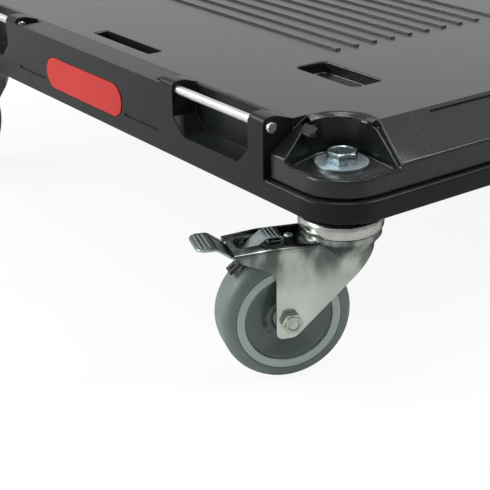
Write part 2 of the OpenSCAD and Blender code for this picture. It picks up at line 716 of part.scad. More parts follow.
// Room between the legs, behind the neck, for the wheel
module tyre_path() translate([0, -leg_gap / 2, 0]) cube([window_s0, leg_gap, arm_z]);

// Ears under the arm that hold the brake pin
ear_half = leg_gap / 2 - 1.2;
module pin_ear() intersection() {
    prism_y(ear_half - 1.8, ear_half + 0.6) polygon(rounded([
        [pivot_s - 4.5, arm_z + 1, 0], [pivot_s - 3.6, pivot_z - 3.2, 3],
        [pivot_s + 3.6, pivot_z - 3.2, 3], [pivot_s + 4.5, arm_z + 1, 0]]));
    fork_mass(sheet_t / 2);
}

module ball_ring(count, pitch_r, d, z) for (i = [0:count - 1]) rotate([0, 0, i * 360 / count])
    translate([pitch_r, 0, z]) sphere(d = d, $fn = 24);
module balls(at) color([0.75, 0.76, 0.78]) caster(at) {
    ball_ring(20, upper_pitch_r, upper_ball_d, upper_ball_z);
    ball_ring(16, lower_pitch_r, lower_ball_d, lower_ball_z);
}

// Axle hardware; the nut with its locking collar is on the side that faces +Y of the arm
axle_flats = 13;
axle_head_h = 5.3;
axle_nut_h = 4.6;
axle_collar_h = 1.6;
axle_past = 5.8;
module axle_bolt(at) color([0.75, 0.77, 0.77]) caster(at) on_axle() {
    translate([0, 0, leg_out]) hexagon(axle_flats, axle_head_h);
    translate([0, 0, -leg_out - axle_past]) cylinder(r = axle_d / 2, h = 2 * leg_out + axle_past);
}
module axle_nut(at) color([0.75, 0.77, 0.77]) caster(at) on_axle() difference() {
    union() {
        translate([0, 0, -leg_out - axle_nut_h]) hexagon(axle_flats, axle_nut_h);
        translate([0, 0, -leg_out - axle_nut_h - axle_collar_h])
            cylinder(r = axle_flats / 2 - 0.9, h = axle_collar_h + 1);
    }
    translate([0, 0, -leg_out - axle_nut_h - axle_collar_h - cut])
        cylinder(r = axle_d / 2, h = 20);
}
module axle_sleeve(at) color([0.7, 0.71, 0.72]) caster(at) on_axle()
    tube(sleeve_d / 2, axle_d / 2 + run_gap, -leg_gap / 2, leg_gap / 2);

// Wheel: a tyre on a core with a hub bush and two dished covers
ring_r = ring_od / 2;
bush_r = sleeve_d / 2 + 1.6;
hub_r = bush_r + 2.4;
cover_t = 1.6;
cover_lip = 1.4;
cover_dish = 6.6;
cover_z = ring_w / 2 - cover_dish;
hub_half = cover_z + cover_t + 0.8;
module tyre(at) color([0.45, 0.49, 0.48]) caster(at) on_axle() rotate_extrude() polygon(rounded([
    [ring_r, tyre_w / 2 - 0.4, 0], [ring_r + 0.8, tyre_w / 2, 0], [wheel_r, tyre_w / 2, shoulder],
    [wheel_r, -tyre_w / 2, shoulder], [ring_r + 0.8, -tyre_w / 2, 0],
    [ring_r, 0.4 - tyre_w / 2, 0]]), $fn = 96);
module core(at) color([0.54, 0.59, 0.58]) caster(at) on_axle() {
    rotate_extrude($fn = 96) polygon([[bush_r, -hub_half], [hub_r, -hub_half], [hub_r, -2], [ring_r - 3, -2],
        [ring_r - 3, 3 - ring_w / 2], [ring_id / 2, 3 - ring_w / 2], [ring_id / 2, 0.5 - ring_w / 2],
        [ring_id / 2 + 0.5, -ring_w / 2], [ring_r - 0.5, -ring_w / 2], [ring_r, 0.5 - ring_w / 2],
        [ring_r, ring_w / 2 - 0.5], [ring_r - 0.5, ring_w / 2], [ring_id / 2 + 0.5, ring_w / 2],
        [ring_id / 2, ring_w / 2 - 0.5], [ring_id / 2, ring_w / 2 - 3], [ring_r - 3, ring_w / 2 - 3],
        [ring_r - 3, 2], [hub_r, 2], [hub_r, hub_half], [bush_r, hub_half]]);
    for (i = [0:5]) rotate([0, 0, i * 60]) translate([hub_r - 1, -1.2, -6])
        cube([ring_r - hub_r - 1, 2.4, 12]);
}
module covers(at) color([0.33, 0.38, 0.38]) caster(at) on_axle() mirror_z() rotate_extrude($fn = 96)
    polygon(bent_strip([[hub_r + cover_t / 2, cover_z + cover_t], [hub_r + 2.2, cover_z],
        [hub_r + 6, cover_z],
        [ring_id / 2 - 3, ring_w / 2 - cover_lip - 1.6],
        [ring_id / 2 - 0.18 - run_gap, ring_w / 2 - cover_lip - 0.9]], cover_t));
module bush(at) color([0.8, 0.76, 0.62]) caster(at) on_axle()
    tube(bush_r, sleeve_d / 2 + run_gap, -hub_half - 0.2, hub_half + 0.2);

// Brake pedal: a rocker with a ribbed foot plate outside and a ribbed release tab in the window
pedal_path = [[pedal_reach, pad_z - 0.4], [pedal_reach - 2.5, pad_z], [pedal_reach - 12, pad_z],
    [pedal_reach - 13.8, pad_z - 0.6], [pedal_reach - 15.4, pad_z - 1.8], [arm_reach + 1.2, lever_z + 2.6],
    [arm_reach - 1.4, lever_z + 0.4], [arm_reach - 2.6, lever_z], [lever_s0 + 0.6, lever_z],
    [54, tab_z - 0.8], [52.4, tab_z], [45, tab_z], [43.4, tab_z - 0.5], [42.8, tab_z - 1.6],
    [43.3, tab_z - 2.8], [44.6, tab_z - 3.2], [51, tab_z - 3.2]];
module pedal_plan() {
    polygon(rounded([[arm_reach + 1, -pedal_w / 2, 1], [pedal_reach, -pedal_w / 2, pedal_round],
        [pedal_reach, pedal_w / 2, pedal_round], [arm_reach + 1, pedal_w / 2, 1]]));
    translate([lever_s0, -lever_half]) square([pedal_reach - 12 - lever_s0, 2 * lever_half]);
    translate([40, -tab_w / 2]) square([lever_s0 - 38, tab_w]);
}
module pedal(at) color([0.5, 0.54, 0.54]) caster(at) difference() {
    union() {
        intersection() {
            across(2 * pedal_w) polygon(bent_strip(pedal_path, pedal_t));
            slab(lever_z - 10, tab_z + 10) pedal_plan();
        }
        for (i = [0:2]) {
            translate([pedal_reach - 3.7 - 2.9 * i, 0, pad_z + pedal_t / 2 - 0.1])
                grip_rib(pedal_w - 6);
            translate([51.4 - 2.6 * i, 0, tab_z + pedal_t / 2 - 0.1]) grip_rib(tab_w - 1);
        }
        mirror_y() prism_y(lever_half - lug_t, lever_half) intersection() {
            union() {
                translate([pivot_s, pivot_z]) circle(r = lug_r);
                translate([pivot_s, lever_z - pedal_t / 2]) square([6, pedal_t]);
            }
            translate([pivot_s - 10, pivot_z - 10])
                square([30, arm_z - 0.4 - pivot_z + 10 - lug_drop]);
        }
    }
    translate([pivot_s, 0, pivot_z]) rotate([90, 0, 0])
        cylinder(r = pin_r + run_gap, h = leg_gap, center = true);
}
module grip_rib(w) rotate([90, 0, 0]) cylinder(r = 0.75, h = w, center = true, $fn = 16);

module brake_pin(at) color([0.7, 0.71, 0.72]) caster(at) translate([pivot_s, 0, pivot_z])
    rotate([90, 0, 0]) cylinder(r = pin_r, h = 2 * ear_half, center = true);

// Brake shoe: a moulded block under the pedal with a face that follows the tyre
shoe_r = wheel_r + shoe_gap;
shoe_t = 2.6;
shoe_end = 41.5;
shoe_slot = [4.6, 2];
module shoe(at) color([0.08, 0.08, 0.08]) caster(at) difference() {
    outer = shoe_r + shoe_t;
    inner = shoe_r - 1;
    across(2 * shoe_half) polygon(rounded([
        [pivot_s + 4, lever_z - pedal_t / 2, 0], [pivot_s + 7.8, lever_z - pedal_t / 2, 0],
        [pivot_s + 7.8, lever_z - 7.4, 1],
        [trail + outer * cos(shoe_end), axle_z + outer * sin(shoe_end), 0.8],
        [trail + inner * cos(shoe_end), axle_z + inner * sin(shoe_end), 0],
        [pivot_s + 4, lever_z - 9.6, 0]]));
    on_axle() cylinder(r = shoe_r, h = 4 * shoe_half, center = true);
    translate([trail, 0, axle_z]) rotate([0, -shoe_end - 5, 0]) translate([shoe_r + shoe_t / 2, 0, 0])
        cube([3 * shoe_t, shoe_slot.y, shoe_slot.x], center = true);
}

// Leaf spring that holds the pedal up, and the rivet that fixes it under the arm
spring_t = 0.8;
rivet_r = 1.6;
module spring(at) color([0.72, 0.74, 0.74]) caster(at) difference() {
    across(10) polygon(bent_strip([[31.5, arm_z - spring_t / 2], [46, arm_z - spring_t / 2],
        [50.5, arm_z - 3], [55.5, arm_z + 1.4]], spring_t));
    translate([rivet_s, 0, arm_z - 5]) cylinder(r = rivet_r, h = 10);
}
module rivet(at) color([0.72, 0.74, 0.74]) caster(at) translate([rivet_s, 0, 0]) {
    translate([0, 0, arm_z - spring_t - 1]) cylinder(r = rivet_r, h = sheet_t + spring_t + 1);
    translate([0, 0, arm_z - spring_t - 1]) cylinder(r = rivet_r + 1.2, h = 1);
    translate([0, 0, arm_top]) rotate_extrude() intersection() {
        translate([0, -2.4]) circle(r = 4);
        square([4, 2]);
    }
}

base_frame();
deck();
handle_rods();
front_insert();
deck_screws();
caster_bolts();
caster_washers();
caster_nuts();
king_tubes();
race_cups();
lower_races();
fork(FR);  // fork_fr
fork(FL);  // fork_fl
fork(RR);  // fork_rr
fork(RL);  // fork_rl
balls(FR);  // balls_fr
balls(FL);  // balls_fl
balls(RR);  // balls_rr
balls(RL);  // balls_rl
axle_bolt(FR);  // axle_bolt_fr
axle_bolt(FL);  // axle_bolt_fl
axle_bolt(RR);  // axle_bolt_rr
axle_bolt(RL);  // axle_bolt_rl
axle_nut(FR);  // axle_nut_fr
axle_nut(FL);  // axle_nut_fl
axle_nut(RR);  // axle_nut_rr
axle_nut(RL);  // axle_nut_rl
axle_sleeve(FR);  // axle_sleeve_fr
axle_sleeve(FL);  // axle_sleeve_fl
axle_sleeve(RR);  // axle_sleeve_rr
axle_sleeve(RL);  // axle_sleeve_rl
tyre(FR);  // tyre_fr
tyre(FL);  // tyre_fl
tyre(RR);  // tyre_rr
tyre(RL);  // tyre_rl
core(FR);  // core_fr
core(FL);  // core_fl
core(RR);  // core_rr
core(RL);  // core_rl
covers(FR);  // covers_fr
covers(FL);  // covers_fl
covers(RR);  // covers_rr
covers(RL);  // covers_rl
bush(FR);  // bush_fr
bush(FL);  // bush_fl
bush(RR);  // bush_rr
bush(RL);  // bush_rl
pedal(FR);  // pedal_fr
pedal(FL);  // pedal_fl
shoe(FR);  // shoe_fr
shoe(FL);  // shoe_fl
brake_pin(FR);  // brake_pin_fr
brake_pin(FL);  // brake_pin_fl
spring(FR);  // spring_fr
spring(FL);  // spring_fl
rivet(FR);  // rivet_fr
rivet(FL);  // rivet_fl
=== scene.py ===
"""Looks of a toolbox dolly: a moulded platform with handle rods on four swivel casters, two with brakes.

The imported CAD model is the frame. Mouldings and pressed parts are softened copies of its nodes, the caster
bolts are modelled here, and every piece rides on a body of the frame. Z is up. Lengths are in metres, or in
millimetres where a name ends in _mm, and angles are in degrees.
"""

import json
import logging
import math
from dataclasses import dataclass
from enum import Enum

import bmesh
import bpy
import numpy as np
from bmesh.types import BMEdge, BMesh, BMFace, BMVert
from bpy.types import Material, Mesh, Node, NodeSocket, NodeTree, Object
from mathutils import Matrix, Vector
from mathutils.bvhtree import BVHTree
from mathutils.geometry import delaunay_2d_cdt


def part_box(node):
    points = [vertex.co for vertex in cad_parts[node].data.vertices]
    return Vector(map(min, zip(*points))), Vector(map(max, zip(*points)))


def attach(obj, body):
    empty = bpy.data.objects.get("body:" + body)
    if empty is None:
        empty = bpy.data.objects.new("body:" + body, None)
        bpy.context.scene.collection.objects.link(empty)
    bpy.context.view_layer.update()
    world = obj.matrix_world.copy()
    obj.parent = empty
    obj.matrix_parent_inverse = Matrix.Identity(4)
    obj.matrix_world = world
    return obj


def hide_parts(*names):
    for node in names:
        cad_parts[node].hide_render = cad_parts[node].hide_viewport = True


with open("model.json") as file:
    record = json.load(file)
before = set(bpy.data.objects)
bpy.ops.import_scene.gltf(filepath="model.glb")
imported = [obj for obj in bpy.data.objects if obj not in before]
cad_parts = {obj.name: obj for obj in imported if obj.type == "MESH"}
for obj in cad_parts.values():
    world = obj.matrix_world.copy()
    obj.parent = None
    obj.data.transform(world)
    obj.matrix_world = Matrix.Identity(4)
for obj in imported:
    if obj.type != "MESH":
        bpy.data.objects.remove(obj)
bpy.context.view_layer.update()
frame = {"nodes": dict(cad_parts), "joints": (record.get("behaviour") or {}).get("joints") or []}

log = logging.getLogger("dolly")
MM = 0.001
CORNERS = ("fr", "fl", "rr", "rl")
BRAKED = ("fr", "fl")
PLATFORM_BODY = "platform"
WHITE = (1.0, 1.0, 1.0, 1.0)
# Inputs and output of a Mix node when it mixes colours
COLOUR_A, COLOUR_B, MIXED_COLOUR = 6, 7, 2


class Axis(Enum):
    """Directions that a pattern's streaks run along."""

    ALONG_X = (1.0, 0.0, 0.0)
    UPRIGHT = (0.0, 0.0, 1.0)


class Curve(Enum):
    """How a mapped value runs between its ends."""

    LINEAR = "LINEAR"
    SMOOTH = "SMOOTHSTEP"


class Kind(Enum):
    """Kinds of node that the materials and the world use."""

    PLACE = "ShaderNodeTexCoord"
    MAPPING = "ShaderNodeMapping"
    NOISE = "ShaderNodeTexNoise"
    RANGE = "ShaderNodeMapRange"
    MIX = "ShaderNodeMix"
    MATHS = "ShaderNodeMath"
    VECTOR_MATHS = "ShaderNodeVectorMath"
    SPLIT = "ShaderNodeSeparateXYZ"
    BUMP = "ShaderNodeBump"
    RAYS = "ShaderNodeLightPath"
    GLOW = "ShaderNodeEmission"
    BACKDROP = "ShaderNodeBackground"
    MIX_SHADER = "ShaderNodeMixShader"


def linear(colour: str) -> tuple[float, float, float, float]:
    """Turns an sRGB hex colour to linear values, by the sRGB standard's curve.

    Args:
        colour: Six hex digits with a leading hash sign.

    Returns:
        Linear red, green and blue, and an alpha of 1.
    """
    parts = [int(colour[i : i + 2], 16) / 255 for i in (1, 3, 5)]
    r, g, b = (p / 12.92 if p <= 0.04045 else ((p + 0.055) / 1.055) ** 2.4 for p in parts)
    return r, g, b, 1.0


def wire(node: Node, settings: dict | None = None, links: dict | None = None) -> Node:
    """Sets a node's values and links its inputs.

    Args:
        node: The node.
        settings: Values by an input's index or name, or by a property's name after a dot.
        links: By an input's index or name, the socket that feeds it, or a node whose first output does.

    Returns:
        The node.
    """
    for key, value in (settings or {}).items():
        if isinstance(key, str) and key.startswith("."):
            setattr(node, key[1:], value)
        else:
            node.inputs[key].default_value = value
    for key, source in (links or {}).items():
        socket = source.outputs[0] if isinstance(source, Node) else source
        node.id_data.links.new(socket, node.inputs[key])
    return node


def add_node(tree: NodeTree, kind: Kind, settings: dict | None = None, links: dict | None = None) -> Node:
    """Adds a node with its settings and links.

    Args:
        tree: The material's or world's node tree.
        kind: The kind of node.
        settings: Its values, as wire takes them.
        links: What feeds it, as wire takes it.

    Returns:
        The new node.
    """
    return wire(tree.nodes.new(kind.value), settings, links)


def blotches(size_mm: float, detail: float = 2.0, rough: float = 0.5) -> dict:
    """Settings of a noise pattern whose blotches are about a given size.

    Args:
        size_mm: Size of a blotch.
        detail: Number of finer layers.
        rough: Strength of the finer layers.

    Returns:
        The values by input.
    """
    return {"Scale": 1 / (size_mm * MM), "Detail": detail, "Roughness": rough}


def span(
    low: float, high: float, out_low: float = 0.0, out_high: float = 1.0, curve: Curve = Curve.LINEAR
) -> dict:
    """Settings that map one range of values to another, clamped at its ends.

    Args:
        low: Start of the range.
        high: End of the range.
        out_low: Result at the start.
        out_high: Result at the end.
        curve: How the result runs between its ends.

    Returns:
        The values by input or property.
    """
    ends = {"From Min": low, "From Max": high, "To Min": out_low, "To Max": out_high}
    return {".interpolation_type": curve.value, **ends}


def around(middle: float, below: float, above: float, margin: float = 0.3) -> dict:
    """Settings that map a noise pattern to a range about a middle value.

    Args:
        middle: The middle value.
        below: How far the range goes below it.
        above: How far the range goes above it.
        margin: Share of the pattern's values, at either end, that give that end's result.

    Returns:
        The values by input or property.
    """
    return span(margin, 1 - margin, middle - below, middle + above)


def two_tones(pattern: Node, dark: str, light: str, margin: float = 0.35) -> NodeSocket:
    """Colours a noise pattern between two tones.

    Args:
        pattern: The noise pattern.
        dark: sRGB hex colour where the pattern is low.
        light: sRGB hex colour where it is high.
        margin: Share of the pattern's values, at either end, that show that end's tone alone.

    Returns:
        The colour.
    """
    tree = pattern.id_data
    share = add_node(tree, Kind.RANGE, span(margin, 1 - margin), {"Value": pattern})
    tones = {".data_type": "RGBA", COLOUR_A: linear(dark), COLOUR_B: linear(light)}
    return add_node(tree, Kind.MIX, tones, {0: share}).outputs[MIXED_COLOUR]


def new_material(name: str) -> tuple[Material, Node, NodeSocket]:
    """Makes a material with a Principled shader and object coordinates.

    Args:
        name: The material's name.

    Returns:
        The material, its shader node and the Object coordinate socket.
    """
    material = bpy.data.materials.new(name)
    material.use_nodes = True
    tree = material.node_tree
    return material, tree.nodes["Principled BSDF"], add_node(tree, Kind.PLACE).outputs["Object"]


@dataclass(frozen=True)
class MouldedPlastic:
    """A moulded plastic with a fine eroded grain, such as polypropylene or ABS.

    The real grain is about 0.2 mm, too fine to show, so it is drawn coarser.
    """

    name: str
    light: str
    dark: str
    roughness: float = 0.45
    glossier: float = 0.05
    duller: float = 0.05
    specular: float = 0.5
    cloud_mm: float = 55.0
    grain_mm: float = 0.7
    grain_detail: float = 1.5
    grain_rough: float = 0.6
    grain_depth_mm: float = 0.03
    grain_strength: float = 0.35

    def material(self) -> Material:
        """Builds the node material.

        Returns:
            The material.
        """
        material, shader, place = new_material(self.name)
        tree = material.node_tree
        cloud = add_node(tree, Kind.NOISE, blotches(self.cloud_mm, detail=3), {"Vector": place})
        fine = blotches(self.grain_mm, self.grain_detail, self.grain_rough)
        grain = add_node(tree, Kind.NOISE, fine, {"Vector": place})
        spread = around(self.roughness, self.glossier, self.duller)
        height = {"Strength": self.grain_strength, "Distance": self.grain_depth_mm * MM}
        looks = {
            "Base Color": two_tones(cloud, self.dark, self.light),
            "Roughness": add_node(tree, Kind.RANGE, spread, {"Value": grain}),
            "Normal": add_node(tree, Kind.BUMP, height, {"Height": grain}),
        }
        wire(shader, {"Specular IOR Level": self.specular}, looks)
        return material


@dataclass(frozen=True)
class SoftRubber(MouldedPlastic):
    """A moulded thermoplastic rubber: duller than plastic, with a shallower grain."""

    roughness: float = 0.5
    glossier: float = 0.06
    duller: float = 0.08
    cloud_mm: float = 20.0
    grain_mm: float = 0.8
    grain_detail: float = 2.0
    grain_rough: float = 0.5
    grain_depth_mm: float = 0.02
    grain_strength: float = 0.3


@dataclass(frozen=True)
class PaintedShadeZone:
    """A shade painted high on a pressed sheet: its tone, darker towards the top, broken into upright patches.
    """

    start_mm: float
    full_mm: float
    tone: str
    wave_mm: float = 15.0
    wave_squeeze: float = 0.45
    wave_ends: tuple[float, float] = (0.34, 0.62)
    thinnest: float = 0.15

    def shade(self, place: NodeSocket, colour: NodeSocket) -> NodeSocket:
        """Turns a sheet's colour to the zone's tone.

        Args:
            place: Object coordinates.
            colour: The sheet's colour.

        Returns:
            The sheet's colour with the painted shade.
        """
        tree = place.id_data
        level = add_node(tree, Kind.SPLIT, links={0: place}).outputs["Z"]
        rise = span(self.start_mm * MM, self.full_mm * MM, curve=Curve.SMOOTH)
        drawn_out = add_node(tree, Kind.MAPPING, {"Scale": (1.0, 1.0, self.wave_squeeze)}, {"Vector": place})
        wave = add_node(tree, Kind.NOISE, blotches(self.wave_mm), {"Vector": drawn_out})
        patchy = span(*self.wave_ends, self.thinnest, 1.0, Curve.SMOOTH)
        factors = {
            0: add_node(tree, Kind.RANGE, rise, {"Value": level}),
            1: add_node(tree, Kind.RANGE, patchy, {"Value": wave}),
        }
        share = add_node(tree, Kind.MATHS, {".operation": "MULTIPLY"}, factors)
        tone = {".data_type": "RGBA", COLOUR_B: linear(self.tone)}
        return add_node(tree, Kind.MIX, tone, {0: share, COLOUR_A: colour}).outputs[MIXED_COLOUR]


@dataclass(frozen=True)
class PlatedSteel:
    """Steel sheet or bar with a zinc plating: cloudy, with faint drawing streaks and a soft gloss.

    Real drawing lines are about 0.1 mm wide, so the streaks are drawn coarser, to show.
    """

    name: str
    light: str
    dark: str
    roughness: float = 0.3
    glossier: float = 0.05
    duller: float = 0.06
    worn_spread: float = 0.1
    streak_mm: float = 1.2
    streak_length: float = 22.0
    streak_depth_mm: float = 0.012
    streak_strength: float = 0.3
    along: Axis = Axis.UPRIGHT
    cloud_mm: float = 16.0
    worn_share: float = 1 / 7
    sway_mm: float = 0.0
    sway_size_mm: float = 34.0
    swayed_streak_mm: float = 0.003
    # Painted shade that darkens the sheet high up, if it has one
    painted_shade: PaintedShadeZone | None = None

    def relief(self, place: NodeSocket, streaks: Node) -> Node:
        """Adds the bump of the streaks and, on a large sheet, of the low waves that the press leaves.

        Args:
            place: Object coordinates.
            streaks: The streaks' pattern.

        Returns:
            The bump node.
        """
        tree = place.id_data
        if not self.sway_mm:
            height = {"Strength": self.streak_strength, "Distance": self.streak_depth_mm * MM}
            return add_node(tree, Kind.BUMP, height, {"Height": streaks})
        sway = add_node(tree, Kind.NOISE, blotches(self.sway_size_mm, detail=1, rough=0.4), {"Vector": place})
        layered = {".operation": "MULTIPLY_ADD", 1: self.swayed_streak_mm / self.sway_mm}
        waves = add_node(tree, Kind.MATHS, layered, {0: streaks, 2: sway})
        return add_node(tree, Kind.BUMP, {"Strength": 1.0, "Distance": self.sway_mm * MM}, {"Height": waves})

    def material(self) -> Material:
        """Builds the node material.

        Returns:
            The material.
        """
        material, shader, place = new_material(self.name)
        tree = material.node_tree
        scale = tuple(1 / self.streak_length if share else 1.0 for share in self.along.value)
        drawn_out = add_node(tree, Kind.MAPPING, {"Scale": scale}, {"Vector": place})
        streaks = add_node(tree, Kind.NOISE, blotches(self.streak_mm), {"Vector": drawn_out})
        cloud = add_node(tree, Kind.NOISE, blotches(self.cloud_mm, rough=0.45), {"Vector": place})
        worn = add_node(tree, Kind.NOISE, blotches(self.cloud_mm * self.worn_share), {"Vector": place})
        colour = two_tones(cloud, self.dark, self.light, margin=0.25)
        # Painted shade: the colour turns darker towards the top of the sheet
        if self.painted_shade:
            colour = self.painted_shade.shade(place, colour)
        uneven = add_node(tree, Kind.RANGE, around(0.0, self.worn_spread, self.worn_spread), {"Value": worn})
        both = add_node(tree, Kind.MATHS, {".operation": "ADD"}, {0: streaks, 1: uneven})
        spread = around(self.roughness, self.glossier, self.duller, margin=0.2)
        looks = {
            "Base Color": colour,
            "Roughness": add_node(tree, Kind.RANGE, spread, {"Value": both}),
            "Normal": self.relief(place, streaks),
        }
        wire(shader, {"Metallic": 1.0}, looks)
        return material


class Finishes:
    """The finishes of the dolly, each built once."""

    def __init__(self) -> None:
        """Builds the materials."""
        self.plastics()
        self.fasteners()
        self.pressings()
        self.wheel()

    def plastics(self) -> None:
        """Builds the platform's plastics and the brake shoe's."""
        # Carbon-black polypropylene from an eroded mould: deep grey, soft sheen, fine even grain
        self.base = MouldedPlastic(
            "base_polypropylene_moulded", "#1b1f1e", "#171b1a", roughness=0.3, specular=0.11
        ).material()
        # The deck's mould is smoother, so it mirrors more of the room
        self.deck = MouldedPlastic(
            "deck_polypropylene_moulded", "#171a19", "#141716", roughness=0.28, specular=0.33
        ).material()
        # Red ABS from a polished mould: clean colour, soft gloss
        self.insert = MouldedPlastic(
            "insert_abs_moulded_red", "#bb1a0c", "#b0160a", roughness=0.34, specular=0.2, grain_depth_mm=0.004
        ).material()
        # Black polyamide from a plain mould: nearly black, half matt
        self.shoe = MouldedPlastic("shoe_polyamide_moulded_black", "#161616", "#101010", 0.4).material()

    def fasteners(self) -> None:
        """Builds the finishes of the rods, bolts, washers and small turned parts."""
        # Drawn steel bar, zinc plated: bright lines along the bar
        self.rod = PlatedSteel(
            "rod_steel_drawn_zinc_plated", "#c9cbca", "#b4b7b6", 0.34, along=Axis.ALONG_X, cloud_mm=24
        ).material()
        # The bars' sheared ends: torn steel, dull and mottled
        self.rod_head = PlatedSteel(
            "rod_head_steel_sheared", "#8f9290", "#6f7270", roughness=0.5, streak_mm=0.8, cloud_mm=2.5
        ).material()
        # Bluish zinc on washers, screws and springs: pale, with a broad soft shine
        self.fastener = PlatedSteel(
            "fastener_steel_bright_zinc", "#bac7cb", "#a0adb2", roughness=0.42, cloud_mm=4, streak_length=3
        ).material()
        # The forged bolt heads carry the same zinc over a dark mottled skin, with sharper glints
        self.bolt_head = PlatedSteel(
            "bolt_steel_forged_zinc", "#a3b0b5", "#56636a", roughness=0.27, cloud_mm=2.2, streak_length=2
        ).material()
        # The axle bolt and its nut have the forks' greener zinc, a little duller
        self.axle = PlatedSteel(
            "axle_fastener_steel_satin_zinc", "#b1b7ae", "#8c918a", cloud_mm=6, streak_length=3
        ).material()
        # Polished bearing steel: bright and even
        self.ball = PlatedSteel("ball_steel_polished", "#d8dadc", "#cfd2d4", 0.14, streak_mm=3).material()

    def pressings(self) -> None:
        """Builds the finishes of the pressed sheet parts."""
        # Deep drawn races: even zinc with a low cloud
        self.race = PlatedSteel(
            "race_steel_pressed_zinc_plated", "#b2b4b0", "#979994", roughness=0.24, cloud_mm=14
        ).material()
        # Fork sheet in satin zinc: low waves, and a painted shade that darkens it under the crown
        painted_shade = PaintedShadeZone(start_mm=62.0, full_mm=88.0, tone="#4e5350")
        pressed = {"roughness": 0.22, "cloud_mm": 30.0, "sway_mm": 1.4, "painted_shade": painted_shade}
        self.fork = {
            corner: PlatedSteel(f"fork_sheet_satin_zinc_{corner}", "#b3b9b1", "#9ba19a", **pressed).material()
            for corner in CORNERS
        }
        # Thin pedal sheet in bluish zinc: small clouds, fine streaks
        self.pedal = PlatedSteel(
            "pedal_sheet_pressed_zinc", "#98a3a3", "#7d8888", roughness=0.27, cloud_mm=7, streak_mm=0.4
        ).material()

    def wheel(self) -> None:
        """Builds the wheel's finishes."""
        # Grey non-marking rubber: matt and even
        self.tyre = SoftRubber("tyre_rubber_grey", "#68756f", "#606c68").material()
        # Polypropylene core: lighter grey, smooth
        self.core = MouldedPlastic(
            "core_polypropylene_grey", "#a9b7b4", "#a0aeab", roughness=0.38, grain_depth_mm=0.01
        ).material()
        # ABS cover from a polished mould: dark grey, glossy
        gloss = {"roughness": 0.18, "specular": 0.62, "grain_mm": 3.0, "grain_depth_mm": 0.004}
        self.cover = MouldedPlastic("cover_abs_moulded_grey", "#435453", "#3d4d4c", **gloss).material()
        # Natural nylon bush: ivory, half matt
        self.bush = MouldedPlastic("bush_nylon_moulded", "#cdbf93", "#c2b487", roughness=0.4).material()


def deselect() -> None:
    """Deselects every object."""
    bpy.ops.object.select_all(action="DESELECT")


def only(piece: Object) -> None:
    """Selects one object alone and makes it active.

    Args:
        piece: The object.
    """
    deselect()
    piece.select_set(True)
    bpy.context.view_layer.objects.active = piece


def join(piece: Object, other: Object) -> None:
    """Joins another object to a piece.

    Args:
        piece: The piece.
        other: The object that becomes part of it.
    """
    only(piece)
    other.select_set(True)
    bpy.ops.object.join()


def settle(piece: Object) -> None:
    """Moves a piece's place, turn and size into its mesh."""
    only(piece)
    bpy.ops.object.transform_apply(location=True, rotation=True, scale=True)


def smooth(piece: Object, angle: float) -> None:
    """Shades a piece smooth where its faces meet at less than an angle."""
    only(piece)
    bpy.ops.object.shade_smooth_by_angle(angle=math.radians(angle))


def apply_modifiers(piece: Object) -> None:
    """Applies every modifier of a piece, in order.

    Args:
        piece: The piece.
    """
    only(piece)
    for modifier in list(piece.modifiers):
        bpy.ops.object.modifier_apply(modifier=modifier.name)


def dress(piece: Object, material: Material) -> None:
    """Gives a piece one material."""
    piece.data.materials.clear()
    piece.data.materials.append(material)


def dress_node(node: str, material: Material) -> None:
    """Gives one material to a CAD node that is shown as it is."""
    dress(frame["nodes"][node], material)
    log.info("%s: CAD node, dressed", node)


def swivel_place(corner: str) -> Vector:
    """The place of a caster's swivel joint."""
    joint = next(joint for joint in frame["joints"] if joint["name"] == f"swivel_turn_{corner}")
    return Vector(joint["pos_m"])


@dataclass(frozen=True)
class WideEdge:
    """Outer edges of upright walls, at one height, that the mould rounds more than the rest."""

    height_mm: float
    width_mm: float
    share: float = 0.7
    height_slack_mm: float = 0.15
    upright: float = 0.12

    def takes(self, edge: BMEdge) -> bool:
        """Tells whether an edge is one of these.

        Args:
            edge: The edge.

        Returns:
            Whether it is.
        """
        off = max(abs(vertex.co.z / MM - self.height_mm) for vertex in edge.verts)
        if not edge.is_convex or off > self.height_slack_mm:
            return False
        return min(abs(face.normal.z) for face in edge.link_faces) < self.upright


@dataclass(frozen=True)
class WideSpot:
    """Outer edges around a place, all of which the mould rounds more than the rest."""

    place: Vector
    reach_mm: float
    width_mm: float
    share: float = 0.42

    def takes(self, edge: BMEdge) -> bool:
        """Tells whether an edge is one of these."""
        return edge.is_convex and all((v.co - self.place).length < self.reach_mm * MM for v in edge.verts)


